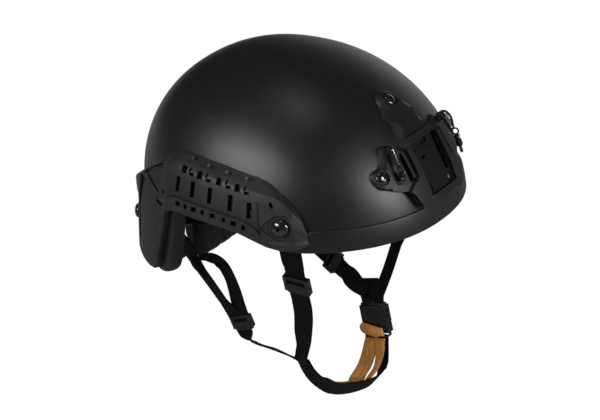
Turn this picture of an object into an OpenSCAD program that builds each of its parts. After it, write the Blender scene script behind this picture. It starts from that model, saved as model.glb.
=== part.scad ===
// High-cut combat helmet: composite shell with edge trim, side rails, front bracket,
// padded liner with a rear dial, and a four-point chin strap with a leather chin cup.
// Millimetres. The front faces -Y, the wearer's right is -X and +Z is up.
// The origin lies on the plane of symmetry, level with the front brim, under the widest section.
// A bearing is an angle in degrees round the shell, from the front centre to the wearer's right.

/* [Shell] */
// Width across the sides
shell_w = 245.8; // [236:0.2:256]
// Length of the shell in front of its widest section
shell_front = 136.2; // [130:0.2:142]
// Length of the shell behind its widest section
shell_rear = 143.4; // [138:0.2:150]
// Height of the crown above the brim
crown_h = 128.5; // [122:0.5:136]
// How far the crown lies behind the widest section
crown_back = 14.2; // [8:0.2:20]
// Thickness of the moulded wall
wall = 8.5; // [7:0.1:10]
// Roundness of the shell seen from the side, where 1 is an ellipse
crown_round = 0.97; // [0.9:0.01:1]
// Roundness of the shell seen from above, where 1 is an ellipse
plan_round = 0.915; // [0.88:0.005:1]
// How far the nape stands out past the wall above it
nape_flare = 3; // [0:0.5:5]

/* [Rim] */
// Height of the top of the ear cut above the brim
ear_top = 24; // [18:1:30]
// Depth of the nape below the brim
nape_drop = 50; // [40:1:60]
// Bearing where the brim turns up into the ear cut
brim_end = 70; // [66:0.5:72]
// Bearing of the front top corner of the ear cut
ear_front = 78; // [76:0.5:84]
// Bearing of the rear top corner of the ear cut
ear_rear = 109.5; // [106:0.5:112]
// Bearing of the lower front corner of the nape
nape_start = 115.5; // [114:0.5:118]
// Height of the trim on the outside of the brim
brim_trim_h = 17.5; // [12:0.5:20]
// Height of the trim on the outside of the ear cuts and the nape
trim_h = 9; // [7:0.5:11]
// Thickness of the trim
trim_t = 1.7; // [1.2:0.1:2.5]

/* [Rails] */
// Height of the rail's outer face above the shell
rail_t = 8.5; // [7:0.25:10]
// Depth of the channel along the rail
rail_channel_d = 2.6; // [1.5:0.1:3.5]
// Distance between the slots along the rail
rail_pitch = 17.8; // [17:0.2:20]
// Width of the slots through the rail
rail_slot_w = 3.8; // [3:0.1:3.9]
// Height of the slots through the rail
rail_slot_h = 12.5; // [10:0.5:14]
// Width of the grooves in the rear arm
arm_groove_w = 2.6; // [1.5:0.1:4]

/* [Front bracket] */
// Height of the bracket's arms above the shell
bracket_t = 5; // [4:0.25:6]
// Height of the borders of the bay above the shell
bay_border_t = 8.5; // [7.5:0.25:10]
// Width of the bay between its borders
bay_w = 40; // [36:0.5:42]
// Height of the bay along its face
bay_h = 46; // [42:0.5:47]
// Height of the middle of the bay above the brim
bay_z = 47; // [45:0.5:49]
// Thickness of the insert plate at its middle
insert_t = 3.2; // [3:0.1:4]

/* [Liner] */
// Thickness of the foam pads
pad_t = 15; // [12:0.5:18]
// Thickness of the fastening discs behind the pads
disc_t = 1.2; // [0.8:0.1:1.6]
// Height of the headband
headband_h = 24; // [18:1:28]
// Thickness of the headband
headband_t = 1.8; // [1.4:0.1:2.4]

/* [Dial] */
// Diameter of the dial
dial_d = 36; // [32:0.5:40]
// Number of teeth on the pinion
pinion_teeth = 12; // [10:1:14]
// Tooth module of the pinion and the racks
tooth_module = 0.9; // [0.8:0.05:1]
// Diameter of the pinion's shaft
shaft_d = 5; // [4:0.1:6]
// Travel of each rack from loose to tight
rack_travel = 14; // [10:0.5:16]

/* [Straps] */
// Width of the webbing
web_w = 19; // [16:0.5:20]
// Thickness of the webbing
web_t = 1.4; // [1.2:0.1:1.6]
// Width of the leather chin cup at its widest
cup_w = 36; // [30:1:40]
// Thickness of the chin cup
cup_t = 2.2; // [1.6:0.1:2.8]

/* [Fasteners] */
// Diameter of the domed heads of the large screws
head_d = 15.5; // [13:0.25:16]
// Diameter of the large screws
screw_d = 6; // [5:0.25:6.5]
// Diameter of the nuts inside the shell
nut_d = 12; // [10.5:0.5:13]
// Diameter of the small screws
small_head_d = 6; // [5:0.25:6.5]

/* [Clearances] */
// Gap between a piece and the curved surface that it seats on
seat_gap = 0.3; // [0.25:0.05:0.4]
// Gap between the inside of the shell and what lies against it
inner_gap = 0.9; // [0.8:0.05:0.95]
// Radial running gap of the dial's shaft
running_gap = 0.08; // [0.05:0.01:0.1]
// Gap round a sliding piece
slide_gap = 0.3; // [0.2:0.05:0.4]

/* [Hidden] */
$fn = 48;
eps = 0.01;
shell_rows = 12;
shell_step = 7.5;
half_w = shell_w / 2;
mm_per_degree = PI * (shell_w + shell_front + shell_rear) / 720;
inner = -wall;

// Places of the screws, as bearings and heights
rail_screw_u = 68.3;
rail_screw_z = 21;
anchor_u = 144;
anchor_z = -17;
bracket_top_z = 93.5;
bracket_ear_x = 53.5;
bracket_ear_z = 50;
bracket_ear_u = brow_bearing(-bracket_ear_x, bracket_ear_z, 0);
rail_zero_u = 78.9;
small_screw_head = 11.5;

// Places against the inside of the shell, measured inwards from its wall
strap_inset = web_t / 2 + inner_gap + 0.4;
trim_inset = trim_t + web_t / 2 + inner_gap;
nut_seat = web_t / 2 + seat_gap + 0.75;
pad_back = inner - inner_gap - disc_t - seat_gap;

// Shape of the moulded shell
function spow(v, e) = sign(v) * pow(abs(v), e);
function rise(z, g) = pow(min(max(z, 0) / (crown_h + g), 1), 1 / crown_round);
function shrink(z, g) = pow(max(1 - pow(rise(z, g), 2), 0), crown_round / 2);
function grown(z, g) = g + nape_flare * max(-z, 0) / nape_drop;
function skin(u, z, g) =
    let (k = grown(z, g), c = shrink(z, g), depth = (cos(u) > 0 ? shell_front : shell_rear) + k)
    [-(half_w + k) * c * spow(sin(u), plan_round),
     crown_back * rise(z, g) - depth * c * spow(cos(u), plan_round),
     z];
function latitude_z(lat, g) = (crown_h + g) * pow(sin(lat), crown_round);
function brow(x, z, g) =
    let (c = shrink(z, g), across = min(abs(x) / ((half_w + g) * c), 1))
    [x, crown_back * rise(z, g) - (shell_front + g) * c * pow(1 - pow(across, 2 / plan_round), plan_round / 2), z];
function brow_bearing(x, z, g) =
    -sign(x) * asin(pow(abs(x) / ((half_w + g) * shrink(z, g)), 1 / plan_round));
function unit(v) = v / norm(v);
function outward(u, z) = unit(cross(skin(u, z + 1, 0) - skin(u, z - 1, 0), skin(u + 1, z, 0) - skin(u - 1, z, 0)));
function mix(a, b, t) = a + (b - a) * t;

// Outline of the rim, unrolled, as [distance round the wall, height]
function bend(p, corner, q, reach, steps = 5) =
    let (a = corner + reach * unit(p - corner), b = corner + reach * unit(q - corner))
    [for (i = [0:steps]) let (t = i / steps) (1 - t) * (1 - t) * a + 2 * t * (1 - t) * corner + t * t * b];
rim_corners = [
    [brim_end * mm_per_degree, 0], [ear_front * mm_per_degree, ear_top],
    [ear_rear * mm_per_degree, ear_top], [nape_start * mm_per_degree, -nape_drop]
];
rim_front = [0, 0];
rim_rear = [180 * mm_per_degree, -nape_drop];
rim_curve = concat(
    bend(rim_front, rim_corners[0], rim_corners[1], 10),
    bend(rim_corners[0], rim_corners[1], rim_corners[2], 12),
    [for (k = [1:3]) mix(rim_corners[1], rim_corners[2], 0.12 + k * 0.2)],
    bend(rim_corners[1], rim_corners[2], rim_corners[3], 15),
    [for (k = [1:2]) mix(rim_corners[2], rim_corners[3], 0.2 + k * 0.2)],
    bend(rim_corners[2], rim_corners[3], rim_rear, 14)
);
brim_steps = floor(rim_curve[0].x / mm_per_degree / shell_step);
nape_steps = floor((180 - rim_curve[len(rim_curve) - 1].x / mm_per_degree) / shell_step);
rim_half = concat(
    [for (k = [0:brim_steps - 1]) [k * shell_step, 0]],
    [for (p = rim_curve) [p.x / mm_per_degree, p.y]],
    [for (k = [nape_steps - 1:-1:0]) [180 - k * shell_step, -nape_drop]]
);
rim = concat(rim_half, [for (i = [len(rim_half) - 2:-1:1]) [360 - rim_half[i].x, rim_half[i].y]]);

// Closed solid from a run of closed outlines
module sweep(rings, loop = false) {
    n = len(rings);
    m = len(rings[0]);
    last = loop ? n - 1 : n - 2;
    sides = [
        for (i = [0:last], j = [0:m - 1])
        let (a = i * m + j, b = i * m + (j + 1) % m, c = ((i + 1) % n) * m + (j + 1) % m, d = ((i + 1) % n) * m + j)
        each [[a, c, b], [a, d, c]]
    ];
    lid = end_faces(m);
    far = (n - 1) * m;
    ends = loop ? [] : concat(lid, [for (f = lid) [far + f[2], far + f[1], far + f[0]]]);
    polyhedron([for (ring = rings) each ring], concat(sides, ends));
}
// Triangles across a closed outline of m points, between its two long sides
function end_faces(m) = [
    for (k = [0:floor((m - 1) / 2) - 1])
    let (a = k, b = k + 1, c = m - 1 - k, d = m - 2 - k)
    each b == d ? [[a, b, c]] : [[a, b, c], [b, d, c]]
];

// Places children with their Z axis along a direction and their X axis near another
module aim(p, along, across) {
    z = unit(along);
    y = unit(cross(z, across));
    x = cross(y, z);
    multmatrix([[x.x, y.x, z.x, p.x], [x.y, y.y, z.y, p.y], [x.z, y.z, z.z, p.z], [0, 0, 0, 1]]) children();
}

// Places children at a height above the shell, with Z outwards and X towards the crown
module on_shell(u, z, g) {
    aim(skin(u, z, 0), outward(u, z), [0, 0, 1]) translate([0, 0, g]) children();
}

module both_sides() {
    children();
    mirror([1, 0, 0]) children();
}

// Smooth run of points through a list of points
function spline(p, i, t) =
    let (n = len(p) - 1, a = p[max(i - 1, 0)], b = p[i], c = p[min(i + 1, n)], d = p[min(i + 2, n)])
    0.5 * (2 * b + (c - a) * t + (2 * a - 5 * b + 4 * c - d) * t * t + (3 * b - a - 3 * c + d) * t * t * t);
function smooth(p, steps = 3) =
    concat([for (i = [0:len(p) - 2], k = [0:steps - 1]) spline(p, i, k / steps)], [p[len(p) - 1]]);

// Flat band along a route, its width turned towards a direction
function band_rings(route, across, w, t) = [
    for (i = [0:len(route) - 1])
    let (along = unit(route[min(i + 1, len(route) - 1)] - route[max(i - 1, 0)]),
         n = unit(cross(along, is_list(across[0]) ? across[i] : across)), s = cross(n, along),
         width = is_list(w) ? w[i] : w)
    [route[i] - s * width / 2 - n * t / 2, route[i] + s * width / 2 - n * t / 2,
     route[i] + s * width / 2 + n * t / 2, route[i] - s * width / 2 + n * t / 2]
];
module band(route, across, w, t) {
    sweep(band_rings(route, across, w, t));
}

// Shell
screw_bores = [
    [rail_screw_u, rail_screw_z], [-rail_screw_u, rail_screw_z],
    [anchor_u, anchor_z], [-anchor_u, anchor_z],
    [0, bracket_top_z], [bracket_ear_u, bracket_ear_z], [-bracket_ear_u, bracket_ear_z]
];
function row_latitude(j, z, g) =
    z < 0 ? 90 * (j - 1) / (shell_rows - 1)
          : let (low = asin(rise(z, g))) low + (90 - low) * j / shell_rows;
function row_z(j, z, g) = j == 0 ? z : latitude_z(row_latitude(j, z, g), g);
module shell_wall() {
    n = len(rim);
    m = shell_rows;
    sheets = [for (g = [0, inner]) each [for (p = rim, j = [0:m - 1]) skin(p.x, row_z(j, p.y, g), g)]];
    poles = [for (g = [0, inner]) [0, crown_back, crown_h + g]];
    lift = n * m;
    function at(i, j) = (i % n) * m + j;
    outside = [for (i = [0:n - 1], j = [0:m - 2]) each i < n / 2
        ? [[at(i, j), at(i + 1, j + 1), at(i, j + 1)], [at(i, j), at(i + 1, j), at(i + 1, j + 1)]]
        : [[at(i, j), at(i + 1, j), at(i, j + 1)], [at(i + 1, j), at(i + 1, j + 1), at(i, j + 1)]]];
    caps = [for (i = [0:n - 1]) [at(i, m - 1), at(i + 1, m - 1), 2 * lift]];
    edge = [for (i = [0:n - 1])
        each [[at(i, 0), lift + at(i + 1, 0), at(i + 1, 0)], [at(i, 0), lift + at(i, 0), lift + at(i + 1, 0)]]];
    inside = [for (f = outside) [lift + f[0], lift + f[2], lift + f[1]]];
    inner_caps = [for (f = caps) [lift + f[1], lift + f[0], 2 * lift + 1]];
    polyhedron(concat(sheets, poles), concat(outside, caps, edge, inside, inner_caps));
}
module shell() {
    color([0.13, 0.13, 0.14]) difference() {
        shell_wall();
        for (b = screw_bores) on_shell(b[0], b[1], 0) cylinder(d = screw_d + 2 * seat_gap, h = 3 * wall, center = true);
    }
}

// Rubber trim over the rim, thickest on the front brim
function rim_side(i) =
    let (n = len(rim), a = rim[(i + n - 1) % n], b = rim[(i + 1) % n],
         step = [(b.x - a.x + (b.x < a.x ? 360 : 0)) * mm_per_degree, b.y - a.y])
    unit([-step.y, step.x]);
function trim_height(u) =
    let (off = min(u, 360 - u), t = min(max((off - 58) / 10, 0), 1)) mix(brim_trim_h, trim_h, t);
function trim_ring(i) =
    let (p = rim[i], n = rim_side(i), high = trim_height(p.x), t = trim_t,
         profile = [
             [-seat_gap, seat_gap + 0.15], [-seat_gap, inner - seat_gap - 0.15], [trim_h - 1, inner - seat_gap - 0.2],
             [trim_h - 1, inner - t], [0.4, inner - t], [-t, inner - t + 1.2], [-t - 0.6, -wall / 2], [-t, t - 1.2],
             [0.4, t], [high - 0.8, t], [high, t * 0.75], [high, seat_gap + 0.2]
         ])
    [for (q = profile) skin(p.x + n.x * q[0] / mm_per_degree, p.y + n.y * q[0], q[1])];
module edge_trim() {
    color([0.17, 0.17, 0.18]) sweep([for (i = [0:len(rim) - 1]) trim_ring(i)], loop = true);
}

// Rails. Each outline is a list of [bearing, height].
rail_top = [
    [59.3, 15], [59.8, 21], [60.8, 29], [62.7, 36], [65.4, 43.5], [68, 48.5], [71.5, 54], [76, 57.5], [82, 59.5],
    [90, 62.5], [100, 64.5], [107, 64.2], [113, 61], [118, 54], [125, 42], [131, 35], [138, 27], [144, 19],
    [148, 9], [150, -4]
];
rail_low = [
    [59.3, 7], [61, 5.5], [64, 4], [69, 3], [74, 5.5], [83, 13.5], [91, 16.5], [104.5, 17.5], [109, 16], [112.2, 12],
    [120.3, -46], [122, -49.5], [126, -51], [142, -51], [147, -45], [150, -30]
];
rail_ridge = [
    [59.3, 13.8], [61, 28], [65.5, 42], [69, 46.5], [76, 49.5], [82, 51.5], [90, 54], [105, 56], [113, 54], [118, 47],
    [125, 37.5], [131, 31], [138, 23.5], [144, 15.5], [150, -6]
];
rail_shelf = [[59.3, 12.3], [72, 40], [80, 43.5], [89, 46], [102, 48.5], [110, 48], [118, 40], [131, 26], [150, -10]];
rail_ledge = [
    [59.3, 9.5], [73, 10], [75.4, 15], [77.5, 20.5], [81.5, 25.2], [94, 29.4], [106, 30.5], [110, 27], [118, 20],
    [131, 10], [150, -20]
];
rail_face = [
    [59.3, rail_t - 4.5], [61, rail_t - 1.5], [64, rail_t], [111, rail_t], [114, rail_t - 1.2],
    [144, rail_t - 1.2], [150, rail_t - 4]
];
rail_stations = [
    59.3, 60.5, 62.5, 65.5, 69, 72.5, 75.5, 76.5, 80, 85, 90, 95, 100, 104.5, 108, 109.5, 110.5, 112.8, 114.8, 116.8,
    118.8, 120.3, 122, 126, 131, 135, 139, 143, 146, 148.5, 150
];
channel_start = 76;
channel_end = 110;
anchor_face = rail_t - 1.2;
recess_d = 2.4;
back_steps = 5;
rail_seat = seat_gap + 0.25;
front_slope = ear_top / ((ear_front - brim_end) * mm_per_degree);
rear_slope = (ear_top + nape_drop) / ((nape_start - ear_rear) * mm_per_degree);
// Height that the trim's outer edge reaches at a bearing beside the ear cut
function trim_top(u) =
    let (front = (u - brim_end) * mm_per_degree * front_slope + trim_h * norm([1, front_slope]),
         rear = ear_top - (u - ear_rear) * mm_per_degree * rear_slope + trim_h * norm([1, rear_slope]))
    max(u < 90 ? trim_height(u) : trim_h - nape_drop, min(ear_top + trim_h, front, rear));
function rail_ring(u) =
    let (top = lookup(u, rail_top), low = lookup(u, rail_low), ridge = lookup(u, rail_ridge),
         shelf = lookup(u, rail_shelf), ledge = lookup(u, rail_ledge), face = lookup(u, rail_face),
         sunk = u > channel_start && u < channel_end ? face - rail_channel_d : face - 0.3,
         low_face = low + (ledge - low) * 0.08, over = max(trim_top(u) + 0.6, low + 1.2))
    concat(
        [for (k = [back_steps:-1:0]) skin(u, mix(over, top, k / back_steps), rail_seat + (u > 104 && u < 119 ? 0.15 : 0))],
        [for (k = [3:-1:0]) skin(u, mix(low, over - 0.5, k / 3), over > low + 1.5 ? trim_t + seat_gap + 0.2 : rail_seat)],
        [skin(u, low, face - 1.4), skin(u, low_face, face + 0.1), skin(u, mix(low_face, ledge, 0.5), face + 0.2),
         skin(u, ledge - 0.3, face + 0.2), skin(u, ledge + 0.5, sunk), skin(u, shelf - 0.5, sunk),
         skin(u, shelf + 0.3, face), skin(u, ridge, face), skin(u, top, 1.4)]
    );
// The long sides are flatter than the mean, so a degree is a longer way round them
side_stretch = 1.15;
function rail_bearing(s) = rail_zero_u + s / (mm_per_degree * side_stretch);
// One pocket, slot or groove in the rail's face
module rail_cut(u, z, w, h, from, to, lean = 0) {
    on_shell(u, z, from) rotate([0, 0, lean]) translate([-h / 2, -w / 2, 0]) cube([h, w, to - from]);
}
module rail_solid() {
    difference() {
        sweep([for (u = rail_stations) rail_ring(u)]);
        for (k = [0:4]) {
            u = rail_bearing(k * rail_pitch);
            rail_cut(u, mix(lookup(u, rail_shelf), lookup(u, rail_ledge), 0.53), rail_slot_w, rail_slot_h, -2, rail_t + 3);
        }
        for (k = [0:7]) {
            u = rail_bearing(k * rail_pitch / 2);
            wide = k % 2 == 1;
            rail_cut(u, mix(lookup(u, rail_shelf), lookup(u, rail_ridge), 0.5), wide ? 5.2 : 3.4, wide ? 5.4 : 4.6,
                rail_t - 4.4, rail_t + 3);
            rail_cut(u + 2, mix(lookup(u + 2, rail_ledge), lookup(u + 2, rail_low), 0.45), wide ? 4.8 : 3,
                4, rail_t - 3.6, rail_t + 3);
        }
        on_shell(rail_screw_u, rail_screw_z, rail_t - recess_d) cylinder(d = head_d + 6, h = 9);
        on_shell(rail_screw_u, rail_screw_z, rail_t - recess_d) translate([-8.5, 2, 0]) cube([17.5, 9, 9]);
        on_shell(rail_screw_u, rail_screw_z, 0) cylinder(d = screw_d + 2 * seat_gap, h = 30, center = true);
        on_shell(anchor_u, anchor_z, 0) cylinder(d = screw_d + 2 * seat_gap, h = 30, center = true);
        rail_cut(132, 0, arm_groove_w, 62, anchor_face - 3, anchor_face + 4, 12);
        rail_cut(121, 41, arm_groove_w, 34, anchor_face - 3.4, anchor_face + 4, 61);
        rail_cut(120.2, 30.5, arm_groove_w / 2, 22, anchor_face - 1.4, anchor_face + 4, -65);
        rail_cut(112.6, 27.5, 3, 4, anchor_face - 3, anchor_face + 4);
        rail_cut(115.5, 17.5, 7, 3.4, anchor_face - 3, anchor_face + 4, -20);
        rail_cut(66.8, 42.5, 3.2, 2.2, rail_t - 3, rail_t + 3);
        rail_cut(70.4, 37.5, 3.2, 3.2, rail_t - 3, rail_t + 3);
    }
}
module rail_right() {
    color([0.21, 0.2, 0.2]) rail_solid();
}
module rail_left() {
    color([0.21, 0.2, 0.2]) mirror([1, 0, 0]) rail_solid();
}

// Domed screw with its head's underside on the plane Z = 0 and its shank below
dome_h = 5;
module domed_screw(head, dome, shank, reach) {
    ball = (head * head / 4 + dome * dome) / (2 * dome);
    intersection() {
        translate([0, 0, dome - ball]) sphere(r = ball);
        cylinder(d = head, h = dome + 1);
    }
    translate([0, 0, -reach]) cylinder(d = shank, h = reach + 1);
}
module nut(outer, bore, t) {
    difference() {
        cylinder(d = outer, h = t);
        translate([0, 0, -1]) cylinder(d = bore, h = t + 2);
    }
}
nut_t = 2.5;
rail_head_g = rail_t - recess_d;
module rail_screws() {
    color([0.08, 0.08, 0.09]) both_sides() {
        on_shell(rail_screw_u, rail_screw_z, rail_head_g) domed_screw(head_d, dome_h, screw_d,
            rail_head_g + wall + trim_inset + nut_seat + nut_t);
        on_shell(anchor_u, anchor_z, anchor_face + 0.4) domed_screw(head_d - 3, dome_h - 2, screw_d,
            anchor_face + 0.4 + wall + strap_inset + nut_seat + nut_t);
    }
}
module rail_nuts() {
    color([0.3, 0.3, 0.31]) both_sides() {
        for (b = [[rail_screw_u, rail_screw_z, trim_inset], [anchor_u, anchor_z, strap_inset]])
            on_shell(b[0], b[1], inner - b[2]) translate([0, 0, -nut_seat - nut_t]) nut(nut_d, screw_d + 0.05, nut_t);
    }
}

// Front bracket. Outlines are seen from the front, as [across, height].
bay_border = 6;
bracket_foot = brim_trim_h + 1;
bracket_half = [
    [0, 102.5], [5.5, 101.5], [10, 98], [13.5, 92.5], [20, 86.5], [16.5, 80.5], [23, 72], [27, 67.5], [31, 70.5],
    [40, 71.5], [46, 65], [51, 58.2], [60, 55.5], [61.8, 49], [58.5, 43], [51, 41.2], [44, 38], [38.2, 36.5],
    [31.2, bracket_foot + 1.6], [23, bracket_foot + 1.6], [12, bracket_foot + 0.3], [0, bracket_foot]
];
foot_flare = [[-4, 27.5], [4, 26], [14, 18.2], [14, -2], [-4, -2]];
bracket_columns = [for (x = [-66:8.25:66]) x];
bracket_rows = [for (z = [12:9:111]) z];
bracket_plane = -50;
module bracket_form(g) {
    last = len(bracket_rows) - 1;
    sweep([for (x = bracket_columns) concat(
        [[x, bracket_plane, bracket_rows[0]], [x, bracket_plane, bracket_rows[last]]],
        [for (i = [last:-1:0]) brow(x, bracket_rows[i], g)]
    )]);
}
// Prism along Y over an outline seen from the front
module front_prism(outline) {
    translate([0, bracket_plane - 1, 0]) rotate([90, 0, 0]) linear_extrude(height = 130) polygon(outline);
}
function mirrored(half) = concat(half, [for (i = [len(half) - 2:-1:1]) [-half[i].x, half[i].y]]);
bay_middle = brow(0, bay_z, insert_t);
bay_normal = outward(0, bay_z);
module in_bay() {
    aim(bay_middle, bay_normal, [1, 0, 0]) children();
}
module bay_block(grow) {
    in_bay() cube([bay_w + 2 * grow, bay_h + 2 * grow, 80], center = true);
}
module bracket_frame() {
    color([0.2, 0.19, 0.2]) difference() {
        intersection() {
            union() {
                bracket_form(bracket_t);
                intersection() {
                    bracket_form(bay_border_t);
                    union() {
                        bay_block(bay_border);
                        for (side = [-1, 1]) front_prism([
                            for (c = foot_flare) [side * (bay_w / 2 + bay_border + c.x), bracket_foot + c.y]]);
                    }
                }
            }
            front_prism(mirrored(bracket_half));
        }
        bracket_form(seat_gap);
        bay_block(0);
        for (u = [bracket_ear_u, -bracket_ear_u]) {
            on_shell(u, bracket_ear_z, bracket_t - 1.6) cylinder(d = small_screw_head + 1.6, h = 12);
            on_shell(u, bracket_ear_z, 0) cylinder(d = screw_d + 2 * seat_gap, h = 30, center = true);
        }
        on_shell(0, bracket_top_z, bracket_t - 1.6) cylinder(d = small_screw_head + 1.6, h = 12);
        on_shell(0, bracket_top_z, 0) cylinder(d = screw_d + 2 * seat_gap, h = 30, center = true);
        for (side = [-1, 1]) {
            translate([side * 31.5, 0, 54]) rotate([90, 0, 0])
                linear_extrude(height = 220) square([5, 22], center = true);
        }
    }
}
bracket_head_g = bracket_t - 1.6;
module bracket_screws() {
    color([0.1, 0.1, 0.11]) {
        for (b = [[0, bracket_top_z], [bracket_ear_u, bracket_ear_z], [-bracket_ear_u, bracket_ear_z]])
            on_shell(b[0], b[1], bracket_head_g) domed_screw(small_screw_head, 2.8, screw_d,
                bracket_head_g + wall + inner_gap + nut_t);
    }
}
module bracket_nuts() {
    color([0.3, 0.3, 0.31]) {
        for (b = [[0, bracket_top_z], [bracket_ear_u, bracket_ear_z], [-bracket_ear_u, bracket_ear_z]])
            on_shell(b[0], b[1], inner) translate([0, 0, -inner_gap - 0.2 - nut_t]) nut(nut_d, screw_d + 0.05, nut_t);
    }
}

// Insert plate in the bay, flat outside and fitted to the shell behind
catch_d = 5;
insert_screw_x = bay_w / 2 - 4.5;
insert_screw_y = 5 - bay_h / 2;
screw_sink = 1.9;
module bracket_insert() {
    color([0.24, 0.23, 0.24]) difference() {
        intersection() {
            in_bay() translate([0, 0, -6]) cube([bay_w + 10, bay_h * 1.6, 12], center = true);
            bay_block(-slide_gap);
        }
        bracket_form(seat_gap);
        in_bay() translate([0, 13, 0]) cylinder(d = catch_d, h = 40, center = true);
        in_bay() translate([-6, bay_h / 2 - 5, -1.6]) cube([12, 12, 6]);
        for (side = [-1, 1]) {
            in_bay() translate([side * (bay_w / 2 - 5.5), 0, 0]) cube([3, 24, 3], center = true);
            in_bay() translate([side * insert_screw_x, insert_screw_y, -screw_sink]) cylinder(d = small_head_d + 2 * slide_gap, h = 9);
        }
    }
}
module insert_screws() {
    color([0.45, 0.45, 0.47]) for (side = [-1, 1]) {
        in_bay() translate([side * insert_screw_x, insert_screw_y, 0.02 - screw_sink]) domed_screw(small_head_d, screw_sink - 0.4, 2.5, 0);
    }
}

// Lanyards: a fixed post with an eye, and a clip that swings from it
post_x = 38;
post_z = 66;
post_u = brow_bearing(-post_x, post_z, 0);
eye_g = 9.5;
eye_r = 1.2;
module lanyard_post() {
    on_shell(post_u, post_z, bracket_t + 0.2) {
        difference() {
            translate([-3, -4, 0]) cube([6, 8, eye_g - bracket_t + 2]);
            translate([0, 0, eye_g - bracket_t - 0.2]) rotate([90, 0, 0])
                cylinder(r = eye_r + running_gap, h = 30, center = true);
            translate([-6, -1.6, eye_g - bracket_t - 2.6]) cube([12, 3.2, 12]);
        }
    }
}
clip_l = 27;
module lanyard_clip() {
    on_shell(post_u, post_z, eye_g) {
        rotate([90, 0, 0]) cylinder(r = eye_r, h = 7.8, center = true);
        difference() {
            translate([-clip_l, -1.3, -1.3]) cube([clip_l + 1, 2.6, 2.6]);
            translate([-clip_l + 5, 0, 0]) rotate([90, 0, 0]) cylinder(d = 1.2, h = 10, center = true);
        }
        translate([-clip_l + 1, 0, 0]) rotate([0, 90, 0]) cylinder(d = 5, h = 7);
        translate([-clip_l - 3.4, 0, 0]) rotate([90, 0, 0]) difference() {
            cylinder(d = 8, h = 2.2, center = true);
            cylinder(d = 4.6, h = 4, center = true);
        }
    }
}
module lanyard_post_right() {
    color([0.16, 0.16, 0.17]) lanyard_post();
}
module lanyard_post_left() {
    color([0.16, 0.16, 0.17]) mirror([1, 0, 0]) lanyard_post();
}
module lanyard_clip_right() {
    color([0.5, 0.5, 0.52]) lanyard_clip();
}
module lanyard_clip_left() {
    color([0.5, 0.5, 0.52]) mirror([1, 0, 0]) lanyard_clip();
}

// Pads. Each is a crowned cushion between two bearings and two heights.
pad_profile = [[0, 0.3], [0.04, 0.72], [0.14, 0.94], [0.5, 1], [0.86, 0.94], [0.96, 0.72], [1, 0.3]];
function pad_swell(t) = 0.55 + 0.45 * pow(sin(180 * mix(0.08, 0.92, t)), 0.5);
function pad_ring(u, t, low, high, thick) =
    let (inset = 6 * pow(1 - sin(180 * mix(0.06, 0.94, t)), 2), a = low + inset, b = high - inset)
    concat(
        [for (q = [0:0.25:1]) skin(u, mix(a, b, q), pad_back)],
        [for (i = [len(pad_profile) - 1:-1:0]) let (q = pad_profile[i])
            skin(u, mix(a, b, q[0]), pad_back - thick * q[1] * pad_swell(t))]
    );
module pad(from, to, low, high, thick = pad_t) {
    steps = 8;
    sweep([for (k = [0:steps]) pad_ring(mix(from, to, k / steps), k / steps, low, high, thick)]);
}
crown_pad_r = 44;
crown_ball = 98;
module pad_crown() {
    top = crown_h + pad_back;
    ball = crown_ball;
    color([0.12, 0.12, 0.13]) translate([0, crown_back, top]) rotate_extrude()
        polygon(concat(
            [for (a = [0:5:25]) [ball * sin(a), ball * cos(a) - ball]],
            [for (a = [0:30:90]) [crown_pad_r - 2 + 2 * cos(a) * 1, -pad_t * 0.62 - 3 * sin(a)]],
            [for (k = [1:4]) [crown_pad_r * (1 - k / 4), -pad_t * 0.62 - 3 - (pad_t * 0.3) * sin(90 * k / 4)]]
        ));
}
pad_front_z = [22, 62];
pad_side_z = [38, 78];
pad_rear_z = [8, 60];
module pad_front() {
    color([0.12, 0.12, 0.13]) pad(-20, 20, pad_front_z[0], pad_front_z[1]);
}
module pad_rear() {
    color([0.12, 0.12, 0.13]) pad(158, 202, pad_rear_z[0], pad_rear_z[1]);
}
module pad_temple_right() {
    color([0.12, 0.12, 0.13]) pad(38, 63, pad_side_z[0], pad_side_z[1]);
}
module pad_temple_left() {
    color([0.12, 0.12, 0.13]) mirror([1, 0, 0]) pad(38, 63, pad_side_z[0], pad_side_z[1]);
}
module pad_side_right() {
    color([0.12, 0.12, 0.13]) pad(98, 140, pad_side_z[0], pad_side_z[1]);
}
module pad_side_left() {
    color([0.12, 0.12, 0.13]) mirror([1, 0, 0]) pad(98, 140, pad_side_z[0], pad_side_z[1]);
}
module disc_patch(from, to, low, high) {
    sweep([for (k = [0:4]) let (u = mix(from, to, k / 4)) concat(
        [for (q = [0:0.25:1]) skin(u, mix(low, high, q), inner - inner_gap - 0.1)],
        [for (q = [1:-0.25:0]) skin(u, mix(low, high, q), inner - inner_gap - disc_t)]
    )]);
}
module hook_discs() {
    color([0.2, 0.2, 0.2]) {
        translate([0, crown_back, crown_h - wall - inner_gap]) rotate_extrude() polygon(concat(
            [for (a = [0:2.5:10]) crown_ball * [sin(a), cos(a) - 1]],
            [for (a = [10:-2.5:0]) [crown_ball * sin(a), crown_ball * (cos(a) - 1) - disc_t]]
        ));
        disc_patch(-12, 12, mix(pad_front_z[0], pad_front_z[1], 0.25), mix(pad_front_z[0], pad_front_z[1], 0.75));
        disc_patch(170, 190, mix(pad_rear_z[0], pad_rear_z[1], 0.3), mix(pad_rear_z[0], pad_rear_z[1], 0.7));
        both_sides() {
            disc_patch(44, 57, mix(pad_side_z[0], pad_side_z[1], 0.25), mix(pad_side_z[0], pad_side_z[1], 0.75));
            disc_patch(109, 129, mix(pad_side_z[0], pad_side_z[1], 0.25), mix(pad_side_z[0], pad_side_z[1], 0.75));
        }
    }
}

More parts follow.
